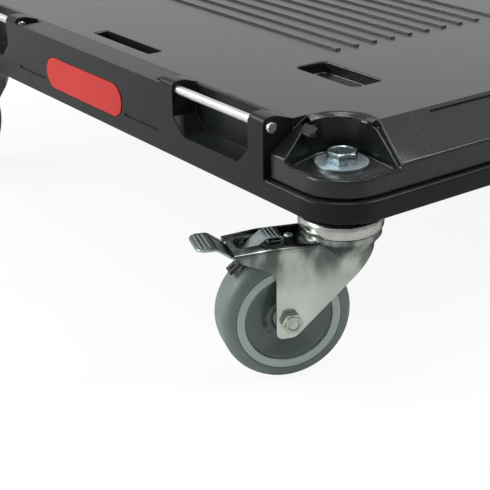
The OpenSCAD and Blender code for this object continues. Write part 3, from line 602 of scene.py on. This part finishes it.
@dataclass
class FlatMender:
    """Fills a mesh's flat areas afresh where a rounding has folded their long thin triangles over.

    Its areas are in square metres.
    """

    mesh: Mesh
    least_area: float = 1e-6
    sliver_area: float = 1e-10
    flatness: float = 4e-6
    same_way: float = 0.999
    merge_reach: float = 1e-8

    def region(self, seed: BMFace, seen: set[BMFace]) -> list[BMFace]:
        """Gathers the faces that lie in a face's plane and join it.

        Args:
            seed: The face.
            seen: Faces that already belong to a flat area; the new ones are added.

        Returns:
            The faces of the flat area.
        """
        normal, place = seed.normal.copy(), seed.verts[0].co.copy()
        seen.add(seed)
        found, ahead = [seed], [seed]
        while ahead:
            beside = [face for edge in ahead.pop().edges for face in edge.link_faces]
            for face in beside:
                if face in seen:
                    continue
                if face.calc_area() > self.sliver_area and abs(face.normal.dot(normal)) < self.same_way:
                    continue
                if all(abs((vertex.co - place).dot(normal)) < self.flatness for vertex in face.verts):
                    seen.add(face)
                    found.append(face)
                    ahead.append(face)
        return found

    def rim(self, region: list[BMFace]) -> list[tuple[BMVert, BMVert]]:
        """Finds a flat area's outline.

        Args:
            region: The flat area's faces.

        Returns:
            Its edges as pairs of corners, each in the direction that has the area on its left.
        """
        inside = set(region)
        found = []
        for edge in dict.fromkeys(edge for face in region for edge in face.edges):
            outside = [loop for loop in edge.link_loops if loop.face not in inside]
            if len(edge.link_faces) == 2 and len(outside) == 1:
                end = outside[0].vert
                found.append((edge.other_vert(end), end))
        return found

    @staticmethod
    def winds_round(starts: np.ndarray, ends: np.ndarray, place: Vector) -> bool:
        """Tells whether an outline runs round a place, turning left.

        Args:
            starts: Where the outline's edges start, one row for each.
            ends: Where they end.
            place: The place.

        Returns:
            Whether it does.
        """
        crossing = (starts[:, 1] <= place.y) != (ends[:, 1] <= place.y)
        start, end = starts[crossing], ends[crossing]
        run, rise = end[:, 0] - start[:, 0], end[:, 1] - start[:, 1]
        right = start[:, 0] + (place.y - start[:, 1]) * run / rise > place.x
        return np.sign(rise)[right].sum() > 0.5

    def refill(self, work: BMesh, region: list[BMFace], normal: Vector) -> None:
        """Takes a flat area's faces out and fills its outline again.

        Args:
            work: The mesh that is edited.
            region: The flat area's faces.
            normal: The way that it faces.
        """
        across = normal.orthogonal().normalized()
        along = normal.cross(across)
        rim = self.rim(region)
        corners = list(dict.fromkeys(vertex for pair in rim for vertex in pair))
        index = {vertex: number for number, vertex in enumerate(corners)}
        flat = [Vector((vertex.co.dot(across), vertex.co.dot(along))) for vertex in corners]
        pairs = [(index[start], index[end]) for start, end in rim]
        spots, _, faces, sources, *_ = delaunay_2d_cdt(flat, pairs, [], 0, self.merge_reach)
        height = corners[0].co.dot(normal)
        made = [
            corners[old[0]] if old else work.verts.new(across * spot.x + along * spot.y + normal * height)
            for spot, old in zip(spots, sources)
        ]
        starts = np.array([flat[start] for start, _ in pairs])
        ends = np.array([flat[end] for _, end in pairs])
        bmesh.ops.delete(work, geom=region, context="FACES_ONLY")
        for face in faces:
            middle = sum((spots[number] for number in face), Vector((0, 0))) / len(face)
            loop = [made[number] for number in face]
            whole = len(set(loop)) == len(loop)
            if whole and self.winds_round(starts, ends, middle) and work.faces.get(loop) is None:
                work.faces.new(loop).normal_update()

    def mend(self) -> None:
        """Mends each flat area that holds a folded face."""
        work = bmesh.new()
        work.from_mesh(self.mesh)
        work.normal_update()
        seen: set[BMFace] = set()
        folded = []
        for seed in sorted(work.faces, key=lambda face: -face.calc_area()):
            if seed.calc_area() < self.least_area:
                break
            if seed in seen:
                continue
            normal = seed.normal.copy()
            region = self.region(seed, seen)
            if any(face.normal.dot(normal) < 0 and face.calc_area() > self.sliver_area for face in region):
                folded.append((region, normal))
        for region, normal in folded:
            self.refill(work, region, normal)
        loose = [edge for edge in work.edges if not edge.link_faces]
        bmesh.ops.delete(work, geom=loose, context="EDGES")
        log.info("%s: %d flat areas filled again", self.mesh.name, len(folded))
        work.to_mesh(self.mesh)
        work.free()


@dataclass
class SoftenedCopy:
    """A merged copy of a CAD node whose sharp edges are rounded as a mould or press leaves them.

    A share is the part of a neighbouring face's or edge's length that a rounding may take.
    """

    node: str
    name: str
    width_mm: float
    slot: str
    body: str = PLATFORM_BODY
    sharp_angle: float = 28.0
    segments: int = 2
    share: float = 0.36
    crowded_share: float = 0.2
    short_edge_mm: float = 0.4
    smooth_angle: float = 32.0
    fine_spots: tuple[Vector, ...] = ()
    fine_reach_mm: float = 17.0
    fine_mm: float = 0.3
    wide: tuple[WideEdge | WideSpot, ...] = ()
    merge_mm: float = 0.002
    flat_angle: float = 0.6
    straight_on: float = 0.8
    least_slant: float = 0.3
    thrown_share: float = 0.42
    area_weight: int = 90

    def full_mm(self) -> float:
        """The widest rounding on the piece."""
        return max([self.width_mm, *(kind.width_mm for kind in self.wide)])

    def is_fine(self, place: Vector) -> bool:
        """Tells whether a place is near one of the fine spots."""
        return any((place - spot).length < self.fine_reach_mm * MM for spot in self.fine_spots)

    def kind_of(self, edge: BMEdge) -> WideEdge | WideSpot | None:
        """Finds the wide rounding that an edge belongs to.

        Args:
            edge: The edge.

        Returns:
            The rounding, if there is one.
        """
        if all(self.is_fine(vertex.co) for vertex in edge.verts):
            return None
        return next((kind for kind in self.wide if kind.takes(edge)), None)

    def wanted_width(self, edge: BMEdge, kind: WideEdge | WideSpot | None) -> float:
        """The width of an edge's rounding where its neighbours leave room for it.

        Args:
            edge: The edge.
            kind: The wide rounding that it belongs to.

        Returns:
            The width.
        """
        if kind:
            return kind.width_mm * MM
        fine = any(self.is_fine(vertex.co) for vertex in edge.verts)
        return (self.fine_mm if fine else self.width_mm) * MM

    def room_across(self, edge: BMEdge, kind: WideEdge | WideSpot | None, crowded: set[BMFace]) -> float:
        """Finds the room that the faces beside an edge leave.

        Args:
            edge: The edge.
            kind: The wide rounding that it belongs to.
            crowded: The faces that a wide rounding already takes from.

        Returns:
            The greatest width of its rounding.
        """
        start, end = (vertex.co for vertex in edge.verts)
        line = (end - start).normalized()
        room = math.inf
        for face in edge.link_faces:
            reach = max((vertex.co - start).cross(line).length for vertex in face.verts)
            share = kind.share if kind else self.crowded_share if face in crowded else self.share
            room = min(room, reach * share)
        return room

    def room_along(self, edge: BMEdge) -> float:
        """Finds the room that the edges at an edge's ends leave.

        Args:
            edge: The edge.

        Returns:
            The greatest width of its rounding.
        """
        room = math.inf
        for vertex in edge.verts:
            line = (edge.other_vert(vertex).co - vertex.co).normalized()
            for other in vertex.link_edges:
                way = (other.other_vert(vertex).co - vertex.co).normalized()
                if other is not edge and abs(way.dot(line)) < self.straight_on:
                    slant = max(self.least_slant, way.cross(line).length)
                    room = min(room, other.calc_length() * self.share / slant)
        length = edge.calc_length()
        return min(room, length / 2) if length < self.short_edge_mm * MM else room

    def weigh_edges(self, mesh: Mesh) -> None:
        """Marks each sharp edge with the share of the full width that its neighbours leave room for.

        Args:
            mesh: The merged mesh.
        """
        work = bmesh.new()
        work.from_mesh(mesh)
        work.normal_update()
        layer = work.edges.layers.float.new("bevel_weight_edge")
        limit = math.radians(self.sharp_angle)
        sharp = [e for e in work.edges if len(e.link_faces) == 2 and e.calc_face_angle(0.0) >= limit]
        kinds = {edge: self.kind_of(edge) for edge in sharp}
        crowded = {face for edge, kind in kinds.items() if kind for face in edge.link_faces}
        for edge, kind in kinds.items():
            room = min(self.room_across(edge, kind, crowded), self.room_along(edge))
            edge[layer] = min(self.wanted_width(edge, kind), room) / (self.full_mm() * MM)
        work.to_mesh(mesh)
        work.free()

    def merge(self, piece: Object) -> None:
        """Merges the loose triangles of a node's copy to whole faces.

        Args:
            piece: The copy, selected alone.
        """
        if "custom_normal" in piece.data.attributes:
            piece.data.attributes.remove(piece.data.attributes["custom_normal"])
        bpy.ops.object.mode_set(mode="EDIT")
        bpy.ops.mesh.select_all(action="SELECT")
        bpy.ops.mesh.remove_doubles(threshold=self.merge_mm * MM)
        bpy.ops.mesh.dissolve_limited(angle_limit=math.radians(self.flat_angle))
        bpy.ops.object.mode_set(mode="OBJECT")

    def round_edges(self, piece: Object) -> None:
        """Rounds the sharp edges by their weights.

        Args:
            piece: The piece.
        """
        self.weigh_edges(piece.data)
        bpy.ops.object.mode_set(mode="EDIT")
        bpy.ops.mesh.select_all(action="SELECT")
        bpy.ops.mesh.quads_convert_to_tris(quad_method="BEAUTY", ngon_method="BEAUTY")
        bpy.ops.object.mode_set(mode="OBJECT")
        bevel = piece.modifiers.new("edges", "BEVEL")
        bevel.limit_method = "WEIGHT"
        bevel.width = self.full_mm() * MM
        bevel.segments = self.segments
        bevel.use_clamp_overlap = False
        bevel.miter_outer = "MITER_ARC"
        apply_modifiers(piece)

    def pull_in(self, mesh: Mesh) -> None:
        """Brings corners that a rounding has thrown out back into the node's box and onto its surface.

        Args:
            mesh: The rounded mesh.
        """
        low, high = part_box(self.node)
        node = frame["nodes"][self.node].data
        surface = BVHTree.FromPolygons(
            [vertex.co for vertex in node.vertices], [face.vertices for face in node.polygons]
        )
        farthest = self.thrown_share * self.full_mm() * MM
        for vertex in mesh.vertices:
            vertex.co = [min(max(part, least), most) for part, least, most in zip(vertex.co, low, high)]
            place, _, _, gap = surface.find_nearest(vertex.co)
            if gap > farthest:
                vertex.co = place

    def shade(self, piece: Object) -> None:
        """Shades the piece smooth, with normals that lean to its larger faces.

        Args:
            piece: The piece.
        """
        smooth(piece, self.smooth_angle)
        weighted = piece.modifiers.new("shading", "WEIGHTED_NORMAL")
        weighted.keep_sharp = True
        weighted.weight = self.area_weight
        apply_modifiers(piece)

    def build(self, material: Material) -> Object:
        """Makes the piece, which takes the place of its node.

        Args:
            material: The piece's finish.

        Returns:
            The piece.
        """
        piece = bpy.data.objects.new(self.name, frame["nodes"][self.node].data.copy())
        bpy.context.scene.collection.objects.link(piece)
        only(piece)
        self.merge(piece)
        self.round_edges(piece)
        self.pull_in(piece.data)
        FlatMender(piece.data).mend()
        self.shade(piece)
        dress(piece, material)
        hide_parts(self.node)
        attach(piece, self.body)
        log.info("%s: softened copy, %d faces", self.name, len(piece.data.polygons))
        return piece


def corner_copy(
    kind: str, corner: str, width_mm: float, slot: str, body: str, **shaping: float
) -> SoftenedCopy:
    """Plans the softened copy of a caster's node.

    Args:
        kind: The node's name without its corner.
        corner: The caster's corner.
        width_mm: Width of the roundings.
        slot: The record's material slot, which the copy keeps but does not use.
        body: The body that it rides on.
        shaping: Other fields of the copy.

    Returns:
        The copy, not built yet.
    """
    return SoftenedCopy(f"{kind}_{corner}", f"{kind}_softened_{corner}", width_mm, slot, body, **shaping)


@dataclass
class HexBolt:
    """A hexagon bolt, in millimetres: a head with chamfered corners and a shallow dish, and its shank."""

    flats: float
    height: float
    shank_d: float
    shank_l: float
    sides: int = 6
    round_sides: int = 48
    shank_sides: int = 32
    chamfer_share: float = 0.01575
    chamfer_angle: float = 30.0
    rim_share: float = 0.07
    dish: float = 0.5
    edge_share: float = 0.012
    edge_segments: int = 2
    edge_angle: float = 20.0
    cutter_share: float = 1.6
    overlap: float = 0.0001
    shank_overlap: float = 0.2
    smooth_angle: float = 24.0
    merge_reach: float = 0.01
    flat_angle: float = 2.0
    top_slack: float = 0.05
    level: float = 0.99

    def cutter(self) -> Object:
        """Models the cone on a round skirt that the head is cut to, which takes its upper corners off.

        Returns:
            The cone with its skirt.
        """
        radius = self.flats / math.sqrt(3) * MM
        wide = radius * self.cutter_share
        narrow = self.flats * (0.5 - self.chamfer_share) * MM
        steepness = math.tan(math.radians(self.chamfer_angle))
        deselect()
        bpy.ops.mesh.primitive_cone_add(
            vertices=self.round_sides, radius1=wide, radius2=narrow, depth=(wide - narrow) * steepness
        )
        cone = bpy.context.object
        rise = cone.dimensions.z
        cone.location.z = self.height * MM - rise / 2
        settle(cone)
        deselect()
        bpy.ops.mesh.primitive_cylinder_add(vertices=self.round_sides, radius=wide, depth=radius * 2)
        skirt = bpy.context.object
        skirt.location.z = (self.height + self.overlap) * MM - rise - radius
        settle(skirt)
        join(cone, skirt)
        return cone

    def head(self, name: str) -> Object:
        """Models the head, its underside on the origin and its axis up.

        Args:
            name: The piece's name.

        Returns:
            The head.
        """
        height, radius = self.height * MM, self.flats / math.sqrt(3) * MM
        deselect()
        bpy.ops.mesh.primitive_cylinder_add(
            vertices=self.sides, radius=radius, depth=height, location=(0, 0, height / 2)
        )
        piece = bpy.context.object
        piece.name = name
        settle(piece)
        cutter = self.cutter()
        cut = piece.modifiers.new("corners", "BOOLEAN")
        cut.operation = "INTERSECT"
        cut.object = cutter
        cut.use_self = True
        cut.solver = "EXACT"
        apply_modifiers(piece)
        bpy.data.objects.remove(cutter)
        return piece

    def sink_top(self, piece: Object) -> None:
        """Insets the head's top face and sinks a shallow dish into it.

        Args:
            piece: The head.
        """
        only(piece)
        bpy.ops.object.mode_set(mode="EDIT")
        bpy.ops.mesh.select_all(action="SELECT")
        bpy.ops.mesh.remove_doubles(threshold=self.merge_reach * MM)
        bpy.ops.mesh.dissolve_limited(angle_limit=math.radians(self.flat_angle))
        bpy.ops.mesh.select_all(action="DESELECT")
        bpy.ops.object.mode_set(mode="OBJECT")
        for face in piece.data.polygons:
            off = abs(face.center.z / MM - self.height)
            face.select = face.normal.z > self.level and off < self.top_slack
        bpy.ops.object.mode_set(mode="EDIT")
        bpy.ops.mesh.select_mode(type="FACE")
        bpy.ops.mesh.inset(thickness=self.flats * self.rim_share * MM, depth=0)
        bpy.ops.mesh.inset(thickness=self.dish * MM, depth=-self.dish * MM)
        bpy.ops.object.mode_set(mode="OBJECT")

    def add_shank(self, piece: Object) -> None:
        """Models the shank below the head and joins it.

        Args:
            piece: The head.
        """
        deselect()
        bpy.ops.mesh.primitive_cylinder_add(
            vertices=self.shank_sides,
            radius=self.shank_d / 2 * MM,
            depth=self.shank_l * MM,
            location=(0, 0, (self.shank_overlap - self.shank_l / 2) * MM),
        )
        shank = bpy.context.object
        settle(shank)
        join(piece, shank)

    def build(self, name: str) -> Object:
        """Models the whole bolt, its head's underside on the origin.

        Args:
            name: The piece's name.

        Returns:
            The bolt.
        """
        piece = self.head(name)
        self.sink_top(piece)
        self.add_shank(piece)
        bevel = piece.modifiers.new("edges", "BEVEL")
        bevel.width = self.flats * self.edge_share * MM
        bevel.segments = self.edge_segments
        bevel.limit_method = "ANGLE"
        bevel.angle_limit = math.radians(self.edge_angle)
        apply_modifiers(piece)
        smooth(piece, self.smooth_angle)
        return piece


@dataclass
class Platform:
    """The two mouldings, the front insert, the handle rods and the deck screws."""

    finishes: Finishes
    segments: int = 3
    base_edge_mm: float = 1.1
    deck_edge_mm: float = 1.43
    insert_edge_mm: float = 0.6
    rod_edge_mm: float = 0.5
    ledge_round_mm: float = 2.4
    lip_height_mm: float = 14.0
    lip_round_mm: float = 3.0
    lip_share: float = 0.46
    wall_height_mm: float = 17.5
    wall_round_mm: float = 2.2
    wall_share: float = 0.4
    pocket_reach_mm: float = 52.0
    pocket_round_mm: float = 2.6
    rim_drop_mm: float = 4.0
    tab_inwards_mm: float = 21.0
    tab_sideways_mm: float = 10.0
    end_face: float = 0.95

    def build(self) -> None:
        """Builds and dresses the platform's pieces."""
        self.build_base()
        self.build_deck()
        insert = SoftenedCopy(
            "front_insert",
            "front_insert_softened",
            self.insert_edge_mm,
            "insert_moulding",
            segments=self.segments,
        )
        insert.build(self.finishes.insert)
        rods = SoftenedCopy("handle_rods", "handle_rods_softened", self.rod_edge_mm, "rod_steel")
        self.mark_rod_heads(rods.build(self.finishes.rod))
        dress_node("deck_screws", self.finishes.fastener)

    def build_base(self) -> None:
        """Builds the lower moulding, with a wider rounding along the ledge under the deck."""
        base = SoftenedCopy(
            "base_frame",
            "base_moulding_softened",
            self.base_edge_mm,
            "base_moulding",
            segments=self.segments,
            wide=(WideEdge(self.ledge_mm(), self.ledge_round_mm),),
        )
        base.build(self.finishes.base)

    def build_deck(self) -> None:
        """Builds the upper moulding, with wider roundings at the pockets and finer ones at the latch tabs."""
        lip = WideEdge(self.ledge_mm() + self.lip_height_mm, self.lip_round_mm, self.lip_share)
        wall = WideEdge(self.ledge_mm() + self.wall_height_mm, self.wall_round_mm, self.wall_share)
        pockets = [
            WideSpot(self.pocket_place(corner), self.pocket_reach_mm, self.pocket_round_mm)
            for corner in CORNERS
        ]
        deck = SoftenedCopy(
            "deck",
            "deck_moulding_softened",
            self.deck_edge_mm,
            "deck_moulding",
            segments=self.segments,
            fine_spots=tuple(self.tab_place(corner) for corner in CORNERS),
            wide=(lip, wall, *pockets),
        )
        deck.build(self.finishes.deck)

    def ledge_mm(self) -> float:
        """Height of the ledge that the deck's edge stands on."""
        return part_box("deck")[0].z / MM

    def pocket_place(self, corner: str) -> Vector:
        """The middle of a corner pocket, at the height of its rim."""
        swivel = swivel_place(corner)
        return Vector((swivel.x, swivel.y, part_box("deck")[1].z - self.rim_drop_mm * MM))

    def tab_place(self, corner: str) -> Vector:
        """The middle of a pocket's latch tab, beside the swivel and inwards.

        Args:
            corner: The pocket's corner.

        Returns:
            The place.
        """
        place = self.pocket_place(corner)
        place.x -= math.copysign(self.tab_inwards_mm * MM, place.x)
        place.y += self.tab_sideways_mm * MM * (1 if corner.startswith("r") else -1)
        return place

    def mark_rod_heads(self, rods: Object) -> None:
        """Gives the rods' sheared end faces their own finish.

        Args:
            rods: The rods' piece.
        """
        rods.data.materials.append(self.finishes.rod_head)
        for face in rods.data.polygons:
            if abs(face.normal.x) > self.end_face:
                face.material_index = 1


@dataclass
class SwivelHardware:
    """Bolts, washers, nuts and races that hold the casters."""

    finishes: Finishes
    flats_mm: float = 19.0
    head_mm: float = 7.5
    shank_d_mm: float = 12.0
    bolt_turn: float = -20.0
    washer_edge_mm: float = 0.35
    race_edge_mm: float = 0.3

    def build_bolts(self) -> None:
        """Models one bolt and copies it to each swivel, its head on the washer."""
        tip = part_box("caster_bolts")[0].z
        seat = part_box("caster_washers")[1].z
        shape = HexBolt(self.flats_mm, self.head_mm, self.shank_d_mm, (seat - tip) / MM)
        first = shape.build(f"caster_bolt_{CORNERS[0]}")
        bolts = [first]
        for corner in CORNERS[1:]:
            bolt = first.copy()
            bolt.data = first.data.copy()
            bolt.name = f"caster_bolt_{corner}"
            bpy.context.scene.collection.objects.link(bolt)
            bolts.append(bolt)
        for bolt, corner in zip(bolts, CORNERS):
            swivel = swivel_place(corner)
            bolt.location = (swivel.x, swivel.y, seat)
            bolt.rotation_euler.z = math.radians(self.bolt_turn)
            settle(bolt)
            dress(bolt, self.finishes.bolt_head)
            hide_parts("caster_bolts")
            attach(bolt, PLATFORM_BODY)
            log.info("%s: hexagon bolt with dished head", bolt.name)

    def build(self) -> None:
        """Builds and dresses the fixed hardware at the four swivels."""
        self.build_bolts()
        for node, width_mm, slot, finish in (
            ("caster_washers", self.washer_edge_mm, "fastener_zinc", self.finishes.fastener),
            ("race_cups", self.race_edge_mm, "race_steel", self.finishes.race),
        ):
            SoftenedCopy(node, f"{node}_softened", width_mm, slot).build(finish)
        for node in ("caster_nuts", "king_tubes", "lower_races"):
            dress_node(node, self.finishes.race)


@dataclass
class Caster:
    """A fork with its balls and axle, and the wheel in it."""

    corner: str
    finishes: Finishes
    fork_edge_mm: float = 0.45
    fork_sharp_angle: float = 34.0
    fork_smooth_angle: float = 40.0
    axle_edge_mm: float = 0.5
    wheel_edge_mm: float = 0.3
    round_smooth_angle: float = 50.0

    def build_fork(self) -> None:
        """Builds and dresses the fork, the axle and the balls."""
        body = f"swivel_{self.corner}"
        fork = corner_copy(
            "fork",
            self.corner,
            self.fork_edge_mm,
            "fork_zinc",
            body,
            sharp_angle=self.fork_sharp_angle,
            smooth_angle=self.fork_smooth_angle,
        )
        fork.build(self.finishes.fork[self.corner])
        for kind in ("axle_bolt", "axle_nut"):
            corner_copy(kind, self.corner, self.axle_edge_mm, "fastener_zinc", body).build(self.finishes.axle)
        dress_node(f"balls_{self.corner}", self.finishes.ball)
        dress_node(f"axle_sleeve_{self.corner}", self.finishes.race)

    def build_wheel(self) -> None:
        """Builds and dresses the tyre, the core, the covers and the bush."""
        body = f"wheel_{self.corner}"
        round_on = {"smooth_angle": self.round_smooth_angle}
        for kind, slot, finish, shaping in (
            ("tyre", "tyre_rubber", self.finishes.tyre, round_on),
            ("core", "wheel_core", self.finishes.core, {}),
            ("covers", "wheel_cover", self.finishes.cover, round_on),
        ):
            corner_copy(kind, self.corner, self.wheel_edge_mm, slot, body, **shaping).build(finish)
        dress_node(f"bush_{self.corner}", self.finishes.bush)

    def build(self) -> None:
        """Builds and dresses the caster's pieces."""
        self.build_fork()
        self.build_wheel()


@dataclass
class Brake:
    """Pedal, shoe, pin, spring and rivet of a braked caster."""

    corner: str
    finishes: Finishes
    pedal_edge_mm: float = 0.35
    pedal_smooth_angle: float = 40.0
    shoe_edge_mm: float = 0.5

    def build(self) -> None:
        """Builds and dresses the brake's pieces."""
        body = f"brake_{self.corner}"
        round_on = {"smooth_angle": self.pedal_smooth_angle}
        pedal = corner_copy("pedal", self.corner, self.pedal_edge_mm, "pedal_steel", body, **round_on)
        pedal.build(self.finishes.pedal)
        corner_copy("shoe", self.corner, self.shoe_edge_mm, "shoe_moulding", body).build(self.finishes.shoe)
        dress_node(f"brake_pin_{self.corner}", self.finishes.race)
        dress_node(f"spring_{self.corner}", self.finishes.fastener)
        dress_node(f"rivet_{self.corner}", self.finishes.fastener)


@dataclass(frozen=True)
class Softbox:
    """A square lamp: its name, its place, the length of its side and its power in watts."""

    name: str
    place: tuple[float, float, float]
    side: float
    power: float

    def add(self, target: tuple[float, float, float]) -> None:
        """Adds the lamp to the scene, turned to a target.

        Args:
            target: The place that it looks at.
        """
        data = bpy.data.lights.new(self.name, "AREA")
        data.size = self.side
        data.energy = self.power
        lamp = bpy.data.objects.new(self.name, data)
        bpy.context.scene.collection.objects.link(lamp)
        aim = Vector(target) - Vector(self.place)
        turned = aim.to_track_quat("-Z", "Y").to_matrix().to_4x4()
        lamp.matrix_world = Matrix.Translation(self.place) @ turned


@dataclass
class Studio:
    """Pale floor, soft lamps and the camera."""

    camera_place: tuple[float, float, float] = (0.8594, -0.69532, 0.4271)
    azimuth: float = 54.09
    pitch: float = 23.63
    roll: float = -0.84
    lens_mm: float = 93.4
    sensor_mm: float = 36.0
    floor_side: float = 12.0
    floor_drop: float = 0.0002
    floor_fibre_mm: float = 400.0
    floor_roughness: float = 0.9
    floor_specular: float = 0.1
    floor_white: float = 0.92
    bright_side: tuple[float, float, float] = (-0.92, -0.25, 0.3)
    side_ends: tuple[float, float] = (-0.6, 0.6)
    dim: float = 0.6
    ambient: float = 0.06
    near_corner: tuple[float, float, float] = (0.1, -0.1, 0.08)
    softboxes: tuple[Softbox, ...] = (
        Softbox("key_softbox", (-1.3, -1.3, 1.3), 0.6, 23.0),
        Softbox("front_softbox", (-0.6, -1.9, 0.8), 0.6, 20.0),
        Softbox("overhead_softbox", (0.2, -0.2, 2.2), 0.8, 22.0),
        Softbox("edge_softbox", (1.1, 0.95, 1.7), 0.6, 24.0),
    )

    def floor(self) -> None:
        """A wide pale floor that the camera sees nearly as white, with the object's shadow."""
        deselect()
        bpy.ops.mesh.primitive_plane_add(size=self.floor_side, location=(0, 0, -self.floor_drop))
        floor = bpy.context.object
        floor.name = "studio_floor"
        settle(floor)
        # White paper: matt and even
        material, shader, place = new_material("floor_paper_white")
        tree = material.node_tree
        fibre = add_node(tree, Kind.NOISE, blotches(self.floor_fibre_mm), {"Vector": place})
        matt = {"Roughness": self.floor_roughness, "Specular IOR Level": self.floor_specular}
        wire(shader, matt, {"Base Color": two_tones(fibre, "#ededed", "#f0f0f0", margin=0.3)})
        glow = add_node(tree, Kind.GLOW, {"Color": WHITE, "Strength": 1.0})
        camera = add_node(tree, Kind.RAYS).outputs["Is Camera Ray"]
        share = add_node(tree, Kind.RANGE, span(0.0, 1.0, 0.0, self.floor_white), {"Value": camera})
        mixed = add_node(tree, Kind.MIX_SHADER, links={0: share, 1: shader, 2: glow})
        wire(tree.nodes["Material Output"], links={"Surface": mixed})
        dress(floor, material)

    def sky(self) -> None:
        """A world that is white to the camera and in reflections, dimmer in them at the right and back."""
        world = bpy.data.worlds.new("studio_white")
        bpy.context.scene.world = world
        world.use_nodes = True
        tree = world.node_tree
        rays = add_node(tree, Kind.RAYS).outputs
        way = add_node(tree, Kind.PLACE).outputs["Generated"]
        towards = {".operation": "DOT_PRODUCT", 1: self.bright_side}
        side = add_node(tree, Kind.VECTOR_MATHS, towards, {0: way}).outputs["Value"]
        fading = span(*self.side_ends, self.dim, 1.0, Curve.SMOOTH)
        faint = span(0.0, 1.0, self.ambient, 1.0)
        factors = {
            0: add_node(tree, Kind.RANGE, fading, {"Value": side}),
            1: add_node(tree, Kind.RANGE, faint, {"Value": rays["Is Glossy Ray"]}),
        }
        level = add_node(tree, Kind.MATHS, {".operation": "MULTIPLY"}, factors)
        room = wire(tree.nodes["Background"], {"Color": WHITE}, {"Strength": level})
        white = add_node(tree, Kind.BACKDROP, {"Color": WHITE, "Strength": 1.0})
        seen_by = {0: rays["Is Camera Ray"], 1: rays["Is Transmission Ray"]}
        seen = add_node(tree, Kind.MATHS, {".operation": "MAXIMUM"}, seen_by)
        mixed = add_node(tree, Kind.MIX_SHADER, links={0: seen, 1: room, 2: white})
        wire(tree.nodes["World Output"], links={"Surface": mixed})

    def camera(self) -> None:
        """Sets the camera at the photograph's place and angle."""
        data = bpy.data.cameras.new("camera")
        data.lens = self.lens_mm
        data.sensor_width = self.sensor_mm
        camera = bpy.data.objects.new("camera", data)
        bpy.context.scene.collection.objects.link(camera)
        turn, dip = math.radians(self.azimuth), math.radians(self.pitch)
        ahead = Vector((-math.sin(turn) * math.cos(dip), math.cos(turn) * math.cos(dip), -math.sin(dip)))
        level = ahead.to_track_quat("-Z", "Y").to_matrix().to_4x4()
        roll = Matrix.Rotation(math.radians(self.roll), 4, "Z")
        camera.matrix_world = Matrix.Translation(self.camera_place) @ level @ roll
        bpy.context.scene.camera = camera

    def build(self) -> None:
        """Builds the studio."""
        self.floor()
        self.sky()
        for softbox in self.softboxes:
            softbox.add(self.near_corner)
        self.camera()
        bpy.context.scene.view_settings.view_transform = "Standard"


def main() -> None:
    """Builds the studio and the dolly in order."""
    logging.basicConfig(level=logging.INFO, format="%(message)s")
    Studio().build()
    finishes = Finishes()
    Platform(finishes).build()
    SwivelHardware(finishes).build()
    for corner in CORNERS:
        Caster(corner, finishes).build()
    for corner in BRAKED:
        Brake(corner, finishes).build()


if __name__ == "__main__":
    main()
